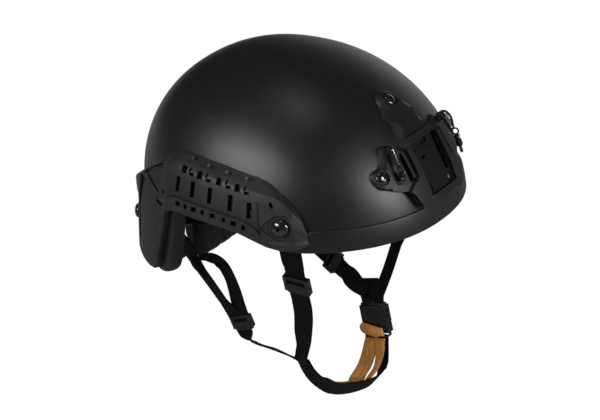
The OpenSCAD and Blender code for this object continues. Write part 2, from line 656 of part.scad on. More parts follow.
// Headband, in two halves, each ending beside its rack's arm
headband_g = pad_back - pad_t - 3.5;
pitch_r = tooth_module * pinion_teeth / 2;
housing_w = 58;
arm_h = 6;
arm_t = 2.4;
arm_plate_w = 11.5;
arm_plate_h = 23;
arm_outer = housing_w / 2 + rack_travel + arm_plate_w + 1.5;
band_end_g = -22.6;
band_end_u = 180 - asin(pow((arm_outer - arm_plate_w / 2 - 0.6) / (half_w + band_end_g), 1 / plan_round));
dial_z = -nape_drop - 14;
dial_y = skin(band_end_u, 0, band_end_g).y + arm_t / 2 + 0.6;
headband_height = [[0, 36], [60, 24], [100, 8], [130, -13], [142, -31], [band_end_u - 0.4, dial_z + 4]];
headband_depth = [[0, headband_g], [128, headband_g], [band_end_u - 2.4, band_end_g], [160, band_end_g]];
headband_stations = concat([1.5], [for (u = [6:6:144]) u], [band_end_u]);
module headband_half() {
    sweep([for (u = headband_stations) let (
        z = lookup(u, headband_height), g = lookup(u, headband_depth), k = min(max((u - 90) / 50, 0), 1),
        h = headband_h * mix(1, 0.66, k))
        [flat_skin(u, z - h / 2, g), flat_skin(u, z + h / 2, g), flat_skin(u, z + h / 2, g - headband_t),
         flat_skin(u, z - h / 2, g - headband_t)]]);
}
function flat_skin(u, z, g) = let (p = skin(u, max(z, -4), g)) [p.x, p.y, z];

// Hangers that clip the headband to the wall
module hanger(u) {
    z = lookup(u, headband_height) + headband_h / 2;
    hooked = headband_g + seat_gap + 0.15;
    on_wall = inner - inner_gap;
    at = skin(u, z, headband_g);
    out = unit(skin(u, z, inner) - at);
    outline = [for (q = [
        [-9, hooked + 2], [2, hooked + 2], [13.4, on_wall - 2.4], [10, on_wall - 2], [10, on_wall],
        [26, on_wall], [26, on_wall - 2], [20, on_wall - 2], [5, hooked], [-9, hooked]
    ]) [(skin(u, z + q[0], q[1]) - at) * out, z + q[0]]];
    aim([at.x, at.y, 0], cross(out, [0, 0, 1]), out) linear_extrude(height = hanger_w, center = true) polygon(outline);
}
hanger_w = 8;
module headband_right() {
    color([0.15, 0.15, 0.16]) headband_half();
}
module band_hangers() {
    color([0.15, 0.15, 0.16]) both_sides() {
        hanger(33);
        hanger(82);
    }
}
module headband_left() {
    color([0.15, 0.15, 0.16]) mirror([1, 0, 0]) headband_half();
}

// Racks that the pinion draws into the housing
tooth_pitch = PI * tooth_module;
rack_teeth = ceil(rack_travel / tooth_pitch) + 4;
function rack_tooth(k) = [
    [k * tooth_pitch - tooth_pitch * 0.36, 0], [k * tooth_pitch - tooth_pitch * 0.14, -tooth_module * 1.55],
    [k * tooth_pitch + tooth_pitch * 0.14, -tooth_module * 1.55], [k * tooth_pitch + tooth_pitch * 0.36, 0]
];
rack_root = pitch_r + tooth_module * 0.75;
module rack_bar() {
    translate([0, arm_t / 2, 0]) rotate([90, 0, 0]) linear_extrude(height = arm_t) union() {
        translate([-arm_outer + 1, rack_root]) square([arm_outer + 7, arm_h]);
        translate([-arm_outer, -arm_plate_h / 2]) square([arm_plate_w, arm_plate_h]);
        for (k = [0:rack_teeth - 1]) {
            translate([tooth_pitch * (k + 2.5 - rack_teeth), rack_root + eps]) polygon(rack_tooth(0));
        }
    }
}
module band_arm_right() {
    color([0.14, 0.14, 0.15]) translate([0, dial_y, dial_z]) mirror([0, 0, 1]) rack_bar();
}
module band_arm_left() {
    color([0.14, 0.14, 0.15]) translate([0, dial_y, dial_z]) mirror([1, 0, 0]) rack_bar();
}

// Pinion with its shaft, and the dial on the shaft's rear end
function pinion_outline() = [
    for (k = [0:pinion_teeth - 1])
    let (a = 360 * k / pinion_teeth, root = pitch_r - tooth_module * 1.15, tip = pitch_r + tooth_module * 0.7, w = 360 / pinion_teeth)
    each [[root * cos(a - w * 0.34), root * sin(a - w * 0.34)], [tip * cos(a - w * 0.13), tip * sin(a - w * 0.13)],
          [tip * cos(a + w * 0.13), tip * sin(a + w * 0.13)], [root * cos(a + w * 0.34), root * sin(a + w * 0.34)]]
];
housing_t = 3;
housing_h = 30;
cavity_t = arm_t + 2 * slide_gap;
knob_t = 11;
module dial_pinion() {
    color([0.3, 0.3, 0.31]) translate([0, dial_y, dial_z]) {
        translate([0, arm_t / 2, 0]) rotate([90, 0, 0]) linear_extrude(height = arm_t) polygon(pinion_outline());
        translate([0, cavity_t / 2 + housing_t + knob_t - 2, 0]) rotate([90, 0, 0])
            cylinder(d = shaft_d, h = cavity_t / 2 + housing_t + knob_t - 2 + cavity_t / 2 + housing_t - 1);
    }
}
knob_ribs = 12;
module dial_knob() {
    color([0.1, 0.1, 0.11]) translate([0, dial_y + cavity_t / 2 + housing_t + slide_gap, dial_z]) rotate([-90, 0, 0]) difference() {
        union() {
            cylinder(d = dial_d - 3, h = knob_t);
            for (k = [0:knob_ribs - 1]) rotate([0, 0, 360 * k / knob_ribs])
                translate([dial_d / 2 - 3, 0, 1]) cylinder(d = 6, h = knob_t - 3);
        }
        translate([0, 0, -1]) cylinder(d = shaft_d + 0.02, h = knob_t - 2 - slide_gap + 1.02);
        translate([0, 0, knob_t - 1.5]) cylinder(d = dial_d - 12, h = 3);
    }
}
// Rear half of the dial's housing, with the channels for the racks
module dial_housing() {
    channel_h = 2 * (rack_root + arm_h + slide_gap);
    color([0.13, 0.13, 0.14]) translate([0, dial_y, dial_z]) difference() {
        translate([-housing_w / 2, -cavity_t / 2, -housing_h / 2]) cube([housing_w, cavity_t + housing_t, housing_h]);
        translate([-housing_w / 2 - 1, -cavity_t / 2 - 1, -channel_h / 2]) cube([housing_w + 2, cavity_t + 1, channel_h]);
        rotate([90, 0, 0]) cylinder(d = shaft_d + 2 * running_gap, h = 40, center = true);
    }
}
// Front half of the housing, which carries the nape pad
module cradle_plate() {
    color([0.15, 0.15, 0.16]) translate([0, dial_y - cavity_t / 2 - 0.02, dial_z]) difference() {
        translate([-housing_w / 2 - 3, -housing_t, -housing_h / 2]) cube([housing_w + 6, housing_t, housing_h + 12]);
        rotate([90, 0, 0]) cylinder(d = shaft_d + 2 * running_gap, h = 2 * housing_t - 2, center = true);
    }
}
nape_pad_t = 11;
nape_pad_w = 66;
nape_pad_h = 46;
function pillow(t) = pow(sin(180 * mix(0.07, 0.93, t)), 0.45);
module nape_pad() {
    steps = 8;
    y = dial_y - cavity_t / 2 - housing_t - 0.02 - slide_gap;
    bow = 5;
    color([0.12, 0.12, 0.13]) sweep([for (k = [0:steps]) let (
        t = k / steps, x = nape_pad_w * (t - 0.5), tall = nape_pad_h * (0.84 + 0.16 * pillow(t)) / 2, z = dial_z + 6,
        curve = bow * pow(2 * t - 1, 2), thick = nape_pad_t * pillow(t))
        concat(
            [[x, y, z - tall], [x, y, z + tall]],
            [for (i = [len(pad_profile) - 1:-1:0]) let (q = pad_profile[i])
                [x, y - thick * q[1] - curve * pillow(q[0]), z + (2 * q[0] - 1) * tall]]
        )]);
}

// Straps. Routes are lists of points chosen by hand, for the wearer's right unless they say otherwise.
web_across = [0, -1, 0.15];
function wall_across(u, z) = unit(skin(u - 1, z, 0) - skin(u + 1, z, 0));
front_fall = [
    skin(rail_screw_u, rail_screw_z + 11, inner - trim_inset + 0.4), skin(rail_screw_u, rail_screw_z, inner - trim_inset),
    skin(rail_screw_u, trim_h + 2, inner - trim_inset - 0.1), skin(rail_screw_u, trim_h / 2, inner - trim_inset - 0.4)
];
front_across = concat([for (k = [1:4]) wall_across(rail_screw_u, 10)], [[0.2, -1, 0.1]], [for (k = [1:12]) web_across]);
function run(line, n) = [for (i = [0:n]) mix(line[0], line[1], i / n)];
// Points of the straps, counted inwards from the shell's half width
function right_at(inset, y, z) = [inset - half_w, y, z];
function left_at(inset, y, z) = [half_w - inset, y, z];
fall_y = front_fall[3].y;
front_line_right = [right_at(21.4, fall_y - 1.9, -17), right_at(35.6, -48.4, -64)];
front_line_left = [left_at(21.9, fall_y - 1.6, -17), left_at(36.7, -44.5, -62)];
front_route_right = concat(front_fall, run(front_line_right, 6), [
    right_at(41.4, -45, -80), right_at(48.9, -38, -102), right_at(54.9, -32, -120), right_at(58.7, -28, -137)
]);
front_route_left = concat([for (p = front_fall) [-p.x, p.y, p.z]], run(front_line_left, 6), [
    left_at(43.9, -40.3, -80), left_at(51.9, -36, -102), left_at(57.5, -32, -118), left_at(59.8, -29.5, -126)
]);
web_bore_d = screw_d + 2 * seat_gap;
module front_strap_right() {
    color([0.16, 0.16, 0.17]) difference() {
        band(smooth(front_route_right, 2), smooth([for (i = [0:len(front_route_right) - 1]) front_across[i]], 2), web_w, web_t);
        on_shell(rail_screw_u, rail_screw_z, 0) cylinder(d = web_bore_d, h = 40, center = true);
    }
}
module front_strap_left() {
    color([0.16, 0.16, 0.17]) difference() {
        band(smooth(front_route_left, 2), smooth([for (i = [0:len(front_route_left) - 1])
            [-front_across[i].x, front_across[i].y, front_across[i].z]], 2), web_w, web_t);
        mirror([1, 0, 0]) on_shell(rail_screw_u, rail_screw_z, 0) cylinder(d = web_bore_d, h = 40, center = true);
    }
}
anchor_run = [for (s = [8, 0, -9]) skin(anchor_u + s / mm_per_degree, anchor_z - max(-s, 0) * 0.12, inner - strap_inset - max(-s, 0) * 0.04)];
rear_line_right = [right_at(56.6, 43, -83), right_at(59.5, 27, -127)];
rear_line_left = [left_at(53.4, 44, -96), left_at(58.9, 4, -117)];
// Points that leave the wall ahead of the anchor, as [bearing before it, height, distance off the wall]
function leaving(points) = [for (q = points) skin(anchor_u - q[0], q[1], inner - strap_inset - q[2])];
function sagging(a, b, points) = [for (q = points) mix(a, b, q[0]) + [q[1], q[2], 0]];
leave_right = leaving([[12, -22, 4], [13, -30, 10.5], [14.5, -41, 18.5]]);
leave_left = leaving([[12, -24, 4], [14.3, -42, 14.5]]);
rear_route_right = concat(anchor_run, leave_right,
    sagging(leave_right[2], rear_line_right[0], [[0.286, 1.2, 2.7], [0.452, 2.6, 0.4], [0.595, 2.7, -3.8]]),
    run(rear_line_right, 6),
    [right_at(60.1, 19, -131), right_at(61.3, 4, -132.5), right_at(62.8, -12, -136), right_at(63.7, -23, -139)]);
rear_loop_route = [
    right_at(55.7, 67.5, -69), right_at(56.7, 65.5, -76), right_at(58.1, 59, -84), right_at(59.3, 51, -91.5),
    right_at(60.1, 44.6, -97), right_at(60.2, 41.2, -99.4)
];
rear_route_left = concat([for (p = concat(anchor_run, leave_left)) [-p.x, p.y, p.z]],
    sagging([-leave_left[1].x, leave_left[1].y, leave_left[1].z], rear_line_left[0], [[0.481, -0.4, 3.8], [0.815, 0.2, 4.2]]),
    run(rear_line_left, 6),
    [left_at(62.3, -4, -120.2), left_at(63.8, -10.5, -123), left_at(64, -19, -126.5)]);
rear_across = [0, -0.35, 1];
function turn_across(route, from, to, last) = [for (i = [0:len(route) - 1]) unit(mix(from, to, min(1, max(0, i - 4) / (last - 4))))];
module rear_strap_right() {
    route = smooth(rear_route_right, 2);
    color([0.16, 0.16, 0.17]) difference() {
        band(route, turn_across(route, [0.1, 0, 1], web_across, 19), web_w - 2, web_t);
        on_shell(anchor_u, anchor_z, 0) cylinder(d = web_bore_d, h = 40, center = true);
    }
}
module rear_loop_right() {
    color([0.16, 0.16, 0.17]) band(smooth(rear_loop_route, 2), [0.1, -0.6, 0.6], web_w - 8, web_t);
}
module rear_strap_left() {
    route = smooth(rear_route_left, 2);
    color([0.16, 0.16, 0.17]) difference() {
        band(route, turn_across(route, [-0.1, 0, 1], web_across, 15), web_w - 2, web_t);
        mirror([1, 0, 0]) on_shell(anchor_u, anchor_z, 0) cylinder(d = web_bore_d, h = 40, center = true);
    }
}

// Sliders: a moulded ladder lock round the webbing
front_slider_l = 16;
rear_slider_l = 12;
slider_wall = 2.2;
module slider(w, l) {
    open_t = web_t + 2 * slide_gap;
    wide = w + 2 * slide_gap + 2 * slider_wall;
    difference() {
        union() {
            cube([wide, open_t + 3.2, l], center = true);
            translate([0, 0, l / 2 + 0.5]) cube([wide - 4, open_t + 1.8, 3], center = true);
        }
        cube([w + 2 * slide_gap, open_t, l + 10], center = true);
        for (s = [-1, 1]) {
            translate([0, s * (open_t / 2 + 1.6), -l * 0.18]) cube([w - 2, 3.2, l * 0.3], center = true);
        }
        translate([0, -open_t / 2 - 1.6, l * 0.22]) cube([w - 2, 3.2, l * 0.22], center = true);
    }
}
module on_line(line, t) {
    aim(mix(line[0], line[1], t), line[1] - line[0], web_across) children();
}
module front_slider_right() {
    color([0.12, 0.12, 0.13]) on_line(front_line_right, 0.52) slider(web_w, front_slider_l);
}
module front_slider_left() {
    color([0.12, 0.12, 0.13]) on_line(front_line_left, 0.52) slider(web_w, front_slider_l);
}
module rear_slider_right() {
    color([0.12, 0.12, 0.13]) on_line(rear_line_right, 0.64) slider(web_w - 2, rear_slider_l);
}
module rear_slider_left() {
    color([0.12, 0.12, 0.13]) on_line(rear_line_left, 0.55) slider(web_w - 2, rear_slider_l);
}

// Yoke that gathers the left straps above the buckle
buckle_at = left_at(62.9, -24.5, -139);
buckle_along = [-0.04, -0.2, -0.98];
module yoke_left() {
    color([0.17, 0.17, 0.18]) {
        band([for (q = [[1.2, 4.5, 19], [1.2, 3, 12], [0.5, 1.5, 6], -3 * unit(buckle_along)]) buckle_at + q],
            [0, -1, 0.2], [26, 26, 24, 21], web_t);
    }
}

// Side-release buckle: socket above, plug below
buckle_w = 27;
buckle_t = 9;
socket_l = 17;
plug_l = 9;
mouth_w = buckle_w - 5;
mouth_t = buckle_t - 4;
module buckle_socket() {
    color([0.1, 0.1, 0.11]) aim(buckle_at, buckle_along, [0, -1, 0.2]) difference() {
        union() {
            translate([-buckle_w / 2, -buckle_t / 2, 0]) cube([buckle_w, buckle_t, socket_l]);
            translate([-buckle_w / 2 + 1, -buckle_t / 2 + 1.5, -2]) cube([buckle_w - 2, buckle_t - 3, 3]);
        }
        translate([-mouth_w / 2, -mouth_t / 2, 2]) cube([mouth_w, mouth_t, socket_l]);
        for (s = [-1, 1]) {
            translate([s * buckle_w / 2, 0, 7.6]) cube([7, mouth_t, 7], center = true);
        }
    }
}
module buckle_plug() {
    prong_t = mouth_t - 2 * slide_gap;
    color([0.1, 0.1, 0.11]) aim(buckle_at, buckle_along, [0, -1, 0.2]) {
        difference() {
            translate([-buckle_w / 2, -buckle_t / 2 + 0.5, socket_l + slide_gap]) cube([buckle_w, buckle_t - 1, plug_l]);
            translate([-web_w / 2 - 0.5, -buckle_t, socket_l + slide_gap + 3.4]) cube([web_w + 1, 2 * buckle_t, 2.6]);
        }
        translate([-2.5, -prong_t / 2, 6]) cube([5, prong_t, socket_l - 5]);
    }
}
// Springy prongs of the plug, whose heads stand out into the socket's side windows
module buckle_prongs() {
    prong_w = 3.6;
    prong_t = mouth_t - 2 * slide_gap;
    edge = mouth_w / 2 - slide_gap;
    head = buckle_w / 2 + 0.8;
    outline = [
        [edge - prong_w, socket_l + slide_gap - eps], [edge - prong_w, 6], [edge - prong_w + 1.5, 4.6], [edge - 0.6, 4.2],
        [head - 1.4, 5], [head, 7.2], [head, 9.2], [head - 1, 10.4], [edge, 10.6], [edge, socket_l + slide_gap - eps]
    ];
    color([0.1, 0.1, 0.11]) aim(buckle_at, buckle_along, [0, -1, 0.2]) for (s = [-1, 1]) {
        translate([0, prong_t / 2, 0]) rotate([90, 0, 0]) linear_extrude(height = prong_t)
            polygon([for (p = outline) [s * p.x, p.y]]);
    }
}

// Chin strap and the leather cup that lies inside it
chin_reach = buckle_at.x / 60;
chin_points = [
    [-62, -27, -136], [-57.5, -29, -149], [-50, -31, -160], [-38, -33, -172], [-25, -35.5, -181], [-10, -37.5, -188],
    [5, -39, -192], [20, -40, -193], [35, -39, -190], [46.5, -37, -184], [54, -34.5, -177], [57.6, -31.8, -169.3]
];
chin_route = [for (p = chin_points) [p.x * chin_reach, p.y, p.z]];
chin_across = [0.05, -1, 0.28];
module chin_strap() {
    color([0.16, 0.16, 0.17]) band(chin_path, chin_across, web_w, web_t);
}
chin_path = smooth(chin_route, 2);
function chin_inward(i) =
    unit(cross(unit(chin_path[min(i + 1, len(chin_path) - 1)] - chin_path[max(i - 1, 0)]), -chin_across));
cup_first = 10;
cup_last = len(chin_path) - 1;
cup_off = (web_t + cup_t) / 2 + seat_gap + 0.1;
cup_widths = [0.6, 0.74, 0.86, 0.95, 1, 0.99, 0.95, 0.89, 0.83, 0.78, 0.74, 0.71, 0.69];
module chin_cup() {
    color([0.56, 0.34, 0.15]) band([for (i = [cup_first:cup_last]) chin_path[i] + chin_inward(i) * cup_off], chin_across,
        [for (i = [cup_first:cup_last]) cup_w * cup_widths[i - cup_first]], cup_t);
}
keeper_index = 21;
module cup_keeper() {
    wide = cup_w * cup_widths[keeper_index - cup_first] + 1.2;
    deep = web_t + cup_t + 1.6;
    color([0.1, 0.09, 0.08])
        aim(chin_path[keeper_index] + chin_inward(keeper_index) * cup_off / 2,
            chin_path[keeper_index + 1] - chin_path[keeper_index - 1], chin_across) difference() {
            cube([wide + 2.6, deep + 2.6, 2.4], center = true);
            cube([wide, deep, 6], center = true);
        }
}

shell();
edge_trim();
rail_right();
rail_left();
rail_screws();
rail_nuts();
bracket_frame();
bracket_insert();
bracket_screws();
bracket_nuts();
insert_screws();
lanyard_post_right();
lanyard_post_left();
lanyard_clip_right();
lanyard_clip_left();
pad_crown();
pad_front();
pad_rear();
pad_temple_right();
pad_temple_left();
pad_side_right();
pad_side_left();
hook_discs();
headband_right();
headband_left();
band_hangers();
band_arm_right();
band_arm_left();
dial_housing();
cradle_plate();
dial_knob();
dial_pinion();
nape_pad();
front_strap_right();
front_strap_left();
rear_strap_right();
rear_loop_right();
rear_strap_left();
front_slider_right();
front_slider_left();
rear_slider_right();
rear_slider_left();
yoke_left();
chin_strap();
chin_cup();
cup_keeper();
buckle_socket();
buckle_plug();
buckle_prongs();
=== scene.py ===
"""Looks of a high-cut combat helmet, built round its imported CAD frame.

Lengths in this file are millimetres until a mesh is made, and metres from then on.
The front faces -Y, the wearer's right is -X and +Z is up. A bearing is an angle in
degrees round the shell, from the front centre to the wearer's right.
"""
import logging
import math
from dataclasses import dataclass, field
from enum import Enum
from typing import Iterable, Sequence

import bmesh
import bpy
import numpy as np
from bpy.types import Material, Modifier, Node, NodeOutputs, NodeSocket, NodeTree, Object
from mathutils import Matrix, Vector


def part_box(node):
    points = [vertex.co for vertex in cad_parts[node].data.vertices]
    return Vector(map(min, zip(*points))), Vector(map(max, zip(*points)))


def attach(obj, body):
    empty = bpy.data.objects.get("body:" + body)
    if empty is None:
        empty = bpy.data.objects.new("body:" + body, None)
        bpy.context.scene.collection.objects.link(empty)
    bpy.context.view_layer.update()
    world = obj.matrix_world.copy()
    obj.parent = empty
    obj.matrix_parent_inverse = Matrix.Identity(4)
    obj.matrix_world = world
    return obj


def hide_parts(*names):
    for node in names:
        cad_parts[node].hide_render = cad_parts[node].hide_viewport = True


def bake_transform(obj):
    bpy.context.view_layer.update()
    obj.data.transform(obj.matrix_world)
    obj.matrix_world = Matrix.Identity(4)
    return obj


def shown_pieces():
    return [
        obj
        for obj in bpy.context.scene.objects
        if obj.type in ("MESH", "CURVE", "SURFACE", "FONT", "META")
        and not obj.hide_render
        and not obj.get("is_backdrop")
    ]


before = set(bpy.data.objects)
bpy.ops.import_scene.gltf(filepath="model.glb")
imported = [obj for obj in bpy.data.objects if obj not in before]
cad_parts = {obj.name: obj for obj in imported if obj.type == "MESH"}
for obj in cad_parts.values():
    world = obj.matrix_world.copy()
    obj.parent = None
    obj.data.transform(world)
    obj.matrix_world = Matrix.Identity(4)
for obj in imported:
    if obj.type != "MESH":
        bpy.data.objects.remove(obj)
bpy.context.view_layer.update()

LOG = logging.getLogger("helmet")
MM = 0.001
SHARP = 32.0  # degrees past which a moulded edge is rounded
MIRROR = np.array([-1, 1, 1])
Colour = tuple[float, float, float]
Places = Sequence[Sequence[float]]
Pair = tuple[float, float]
Array = np.ndarray
Faces = list[tuple[int, ...]]
Solid = tuple[Array, Faces]
Surface = tuple[NodeSocket, NodeSocket, NodeSocket, float]


class Side(Enum):
    """The two sides of the helmet, as the sign of X."""

    RIGHT = -1
    LEFT = 1

    @property
    def label(self) -> str:
        """The side's name, as it stands in the names of pieces."""
        return self.name.lower()


# --- Node helpers ---


class Graph:
    """Short calls for building a node tree."""

    def __init__(self, tree: NodeTree) -> None:
        """Keeps the tree that nodes are added to."""
        self.tree = tree

    def add(self, kind: str, inputs: dict[str | int, object] | None = None, **settings: object) -> Node:
        """Adds a node.

        Args:
            kind: The node's type name.
            inputs: Values or output sockets for its inputs, by name or index.
            **settings: Properties of the node.

        Returns:
            The new node.
        """
        node = self.tree.nodes.new(kind)
        for name, value in settings.items():
            setattr(node, name, value)
        for name, value in (inputs or {}).items():
            self.feed(node.inputs[name], value)
        return node

    def feed(self, socket: NodeSocket, value: object) -> None:
        """Links an output to a socket, or sets the socket's own value.

        Args:
            socket: The input.
            value: The output's socket, or the value.
        """
        if isinstance(value, NodeSocket):
            self.tree.links.new(value, socket)
        else:
            socket.default_value = value

    def math(self, operation: str, *values: object) -> NodeSocket:
        """Adds a Math node on some operands."""
        return self.add("ShaderNodeMath", dict(enumerate(values)), operation=operation).outputs[0]

    def sum(self, first: object, second: object) -> NodeSocket:
        """Adds two masks, up to 1."""
        return self.add("ShaderNodeMath", {0: first, 1: second}, operation="ADD", use_clamp=True).outputs[0]

    def span(self, value: object, low: float, high: float, to_low: float, to_high: float) -> NodeSocket:
        """Maps a range of values onto another, without going past its ends."""
        return self.add("ShaderNodeMapRange", {0: value, 1: low, 2: high, 3: to_low, 4: to_high}).outputs[0]

    def blend(self, mask: object, first: object, second: object) -> NodeSocket:
        """Mixes two colours by a mask; each is a plain colour or a socket."""
        ends = [(*c, 1) if isinstance(c, tuple) else c for c in (first, second)]
        return self.add("ShaderNodeMix", {0: mask, 6: ends[0], 7: ends[1]}, data_type="RGBA").outputs[2]

    def place(self) -> NodeSocket:
        """The place of a point on its piece."""
        return self.add("ShaderNodeTexCoord").outputs["Object"]


def group(name: str, inputs: dict[str, float], outputs: Sequence[str]) -> tuple[Graph, dict, dict]:
    """Starts a shader node group.

    Args:
        name: The group's name.
        inputs: Float inputs with their default values.
        outputs: Names of its float outputs.

    Returns:
        A graph on the group's tree, its input sockets and its output sockets by name.
    """
    tree = bpy.data.node_groups.new(name, "ShaderNodeTree")
    for label, value in inputs.items():
        tree.interface.new_socket(name=label, in_out="INPUT", socket_type="NodeSocketFloat").default_value = value
    for label in outputs:
        tree.interface.new_socket(name=label, in_out="OUTPUT", socket_type="NodeSocketFloat")
    graph = Graph(tree)
    entry, leave = graph.add("NodeGroupInput"), graph.add("NodeGroupOutput")
    return graph, {k: entry.outputs[k] for k in inputs}, {k: leave.inputs[k] for k in outputs}


class Effects:
    """Shader groups that several finishes share, each built once."""

    def __init__(self) -> None:
        """Builds every group."""
        self.grain = self._grain()
        self.wear = self._wear()
        self.weave = self._weave()

    def _grain(self) -> NodeTree:
        """Fine moulded or sprayed grain: a height, and a slow cloudy mask.

        Returns:
            The group.
        """
        g, given, out = group("grain", {"Scale": 900.0, "Cloud": 14.0}, ("Height", "Mask"))
        place = g.place()
        fine = g.add("ShaderNodeTexNoise", {"Vector": place, "Scale": given["Scale"], "Detail": 3.0, "Roughness": 0.6})
        pits = g.add("ShaderNodeTexVoronoi", {"Vector": place, "Scale": given["Scale"]}, feature="SMOOTH_F1")
        cloud = g.add("ShaderNodeTexNoise",
                      {"Vector": place, "Scale": given["Cloud"], "Detail": 4.0, "Roughness": 0.55})
        g.feed(out["Height"], g.math("MULTIPLY_ADD", pits.outputs["Distance"], 0.6, fine.outputs["Fac"]))
        g.feed(out["Mask"], g.span(cloud.outputs["Fac"], 0.35, 0.65, 0.0, 1.0))
        return g.tree

    def _wear(self) -> NodeTree:
        """Rubbed edges and stray scuffs, as a mask.

        Returns:
            The group.
        """
        g, given, out = group("wear", {"Edge": 0.53, "Scuff": 0.72}, ("Mask",))
        point = g.add("ShaderNodeNewGeometry").outputs["Pointiness"]
        place = g.place()
        patch = g.add("ShaderNodeTexNoise", {"Vector": place, "Scale": 60.0, "Detail": 5.0})
        streak = g.add("ShaderNodeTexNoise", {"Vector": place, "Scale": 240.0, "Detail": 2.0, "Distortion": 1.4})
        edge = g.span(point, 0.5, given["Edge"], 0.0, 1.0)
        worn = g.math("MULTIPLY", edge, g.span(patch.outputs["Fac"], 0.4, 0.62, 0.0, 1.0))
        scuff = g.math("MULTIPLY", g.math("GREATER_THAN", streak.outputs["Fac"], given["Scuff"]), 0.5)
        g.feed(out["Mask"], g.sum(worn, scuff))
        return g.tree

    def _weave(self) -> NodeTree:
        """Webbing's weave from its UV map in metres: a height, and a shade that is paler on the yarns' crowns and
        darker between them, painted light and shade mixed with random fuzz.

        Returns:
            The group.
        """
        g, given, out = group("weave", {"Pitch": 0.0016, "Slant": 0.5}, ("Height", "Shade"))
        parts = g.add("ShaderNodeSeparateXYZ", {0: g.add("ShaderNodeUVMap", uv_map="cloth").outputs[0]})
        along, across = (g.math("DIVIDE", parts.outputs[i], given["Pitch"]) for i in (0, 1))
        step = g.math("MULTIPLY", g.math("ROUND", across), given["Slant"])
        yarn = g.math("ABSOLUTE", g.math("SINE", g.math("MULTIPLY", g.math("ADD", along, step), math.pi)))
        rib = g.math("ABSOLUTE", g.math("SINE", g.math("MULTIPLY", across, math.pi)))
        lump = g.math("MULTIPLY", yarn, rib)
        fuzz = g.add("ShaderNodeTexNoise", {"Vector": g.place(), "Scale": 1800.0}).outputs["Fac"]
        g.feed(out["Height"], g.math("MULTIPLY_ADD", fuzz, 0.25, lump))
        # Shade: painted light on the yarns' crowns and painted shade between them, with random fuzz
        g.feed(out["Shade"], g.math("MULTIPLY_ADD", fuzz, 0.35, g.math("MULTIPLY", lump, 0.65)))
        return g.tree


# --- Finishes ---


@dataclass(frozen=True)
class Finish:
    """A moulded or painted surface with grain, cloudy tone and rubbed edges.

    Attributes:
        name: The material's name.
        base: Colour of most of the surface.
        rubbed: Colour where it is worn or dusty; webbing and pad cloth lay it on their raised yarns and loops as
            painted light.
        rough: Roughness where it is glossiest and dullest.
        grain: Scale of the grain, in cells a metre.
        depth: Height of the grain, in metres.
        worn: How much of the rubbed colour shows, from 0 to 1.
        edge: Pointiness at which an edge is fully rubbed.
        metallic: How much of it is bare metal.
        specular: Strength of its plain reflection.
        coat: Weight of its clear coat.
        sheen: Weight of its sheen.
    """

    name: str
    base: Colour
    rubbed: Colour
    rough: Pair
    grain: float = 900.0
    depth: float = 0.00005
    worn: float = 0.5
    edge: float = 0.56
    metallic: float = 0.0
    specular: float = 0.5
    coat: float = 0.0
    sheen: float = 0.0

    def build(self, effects: Effects) -> Material:
        """Makes the material.

        Args:
            effects: The shared shader groups.

        Returns:
            The material.
        """
        material = bpy.data.materials.new(self.name)
        material.use_nodes = True
        g = Graph(material.node_tree)
        colour, rough, height, strength = self.surface(g, effects)
        bump = g.add("ShaderNodeBump", {"Height": height, "Distance": self.depth, "Strength": strength})
        values = {
            "Base Color": colour, "Roughness": rough, "Normal": bump.outputs[0], "Metallic": self.metallic,
            "Specular IOR Level": self.specular, "Coat Weight": self.coat, "Sheen Weight": self.sheen,
        }
        shader = material.node_tree.nodes["Principled BSDF"]
        for label, value in values.items():
            g.feed(shader.inputs[label], value)
        return material

    def surface(self, g: Graph, effects: Effects) -> Surface:
        """Reads the grain and the wear.

        Args:
            g: A graph on the material.
            effects: The shared shader groups.

        Returns:
            Sockets of the colour, the roughness and the height, and the bump's strength.
        """
        grain = g.add("ShaderNodeGroup", node_tree=effects.grain)
        g.feed(grain.inputs["Scale"], self.grain)
        wear = g.add("ShaderNodeGroup", node_tree=effects.wear)
        g.feed(wear.inputs["Edge"], self.edge)
        mask = grain.outputs["Mask"]
        tone = g.sum(g.math("MULTIPLY", mask, 0.16 * self.worn), g.math("MULTIPLY", wear.outputs["Mask"], self.worn))
        colour = g.blend(tone, self.base, self.rubbed)
        return colour, g.span(mask, 0.0, 1.0, *self.rough), grain.outputs["Height"], 1.0


@dataclass(frozen=True)
class Webbing(Finish):
    """Woven nylon on a UV map that is measured in metres."""

    pitch: float = 0.0016

    def surface(self, g: Graph, effects: Effects) -> Surface:
        """Reads the weave.

        Args:
            g: A graph on the material.
            effects: The shared shader groups.

        Returns:
            Sockets of the colour, the roughness and the height, and the bump's strength.
        """
        weave = g.add("ShaderNodeGroup", node_tree=effects.weave)
        g.feed(weave.inputs["Pitch"], self.pitch)
        shade = weave.outputs["Shade"]
        rough = g.span(shade, 0.0, 1.0, *self.rough)
        # the rubbed colour lands on the yarns' crowns and the base between them: painted light and shade
        return g.blend(shade, self.base, self.rubbed), rough, weave.outputs["Height"], 1.0


@dataclass(frozen=True)
class Cloth(Finish):
    """Brushed pad cloth, with a soft nap and a sheen."""

    def surface(self, g: Graph, effects: Effects) -> Surface:
        """Makes loops of fine noise, paler on their raised rims and darker in their hollows as painted light and
        shade.

        Args:
            g: A graph on the material.
            effects: The shared shader groups.

        Returns:
            Sockets of the colour, the roughness and the height, and the bump's strength.
        """
        loops = g.add("ShaderNodeTexVoronoi", {"Vector": g.place(), "Scale": self.grain}, feature="F1")
        grain = g.add("ShaderNodeGroup", node_tree=effects.grain)
        g.feed(grain.inputs["Scale"], self.grain * 0.5)
        height = loops.outputs["Distance"]
        # the loops' height also sets the colour: painted shade in their hollows, painted light on their rims, with
        # random tone from the grain
        mask = g.math("MULTIPLY_ADD", height, 0.7, g.math("MULTIPLY", grain.outputs["Mask"], 0.3))
        return g.blend(mask, self.base, self.rubbed), g.span(mask, 0.0, 1.0, *self.rough), height, 0.8


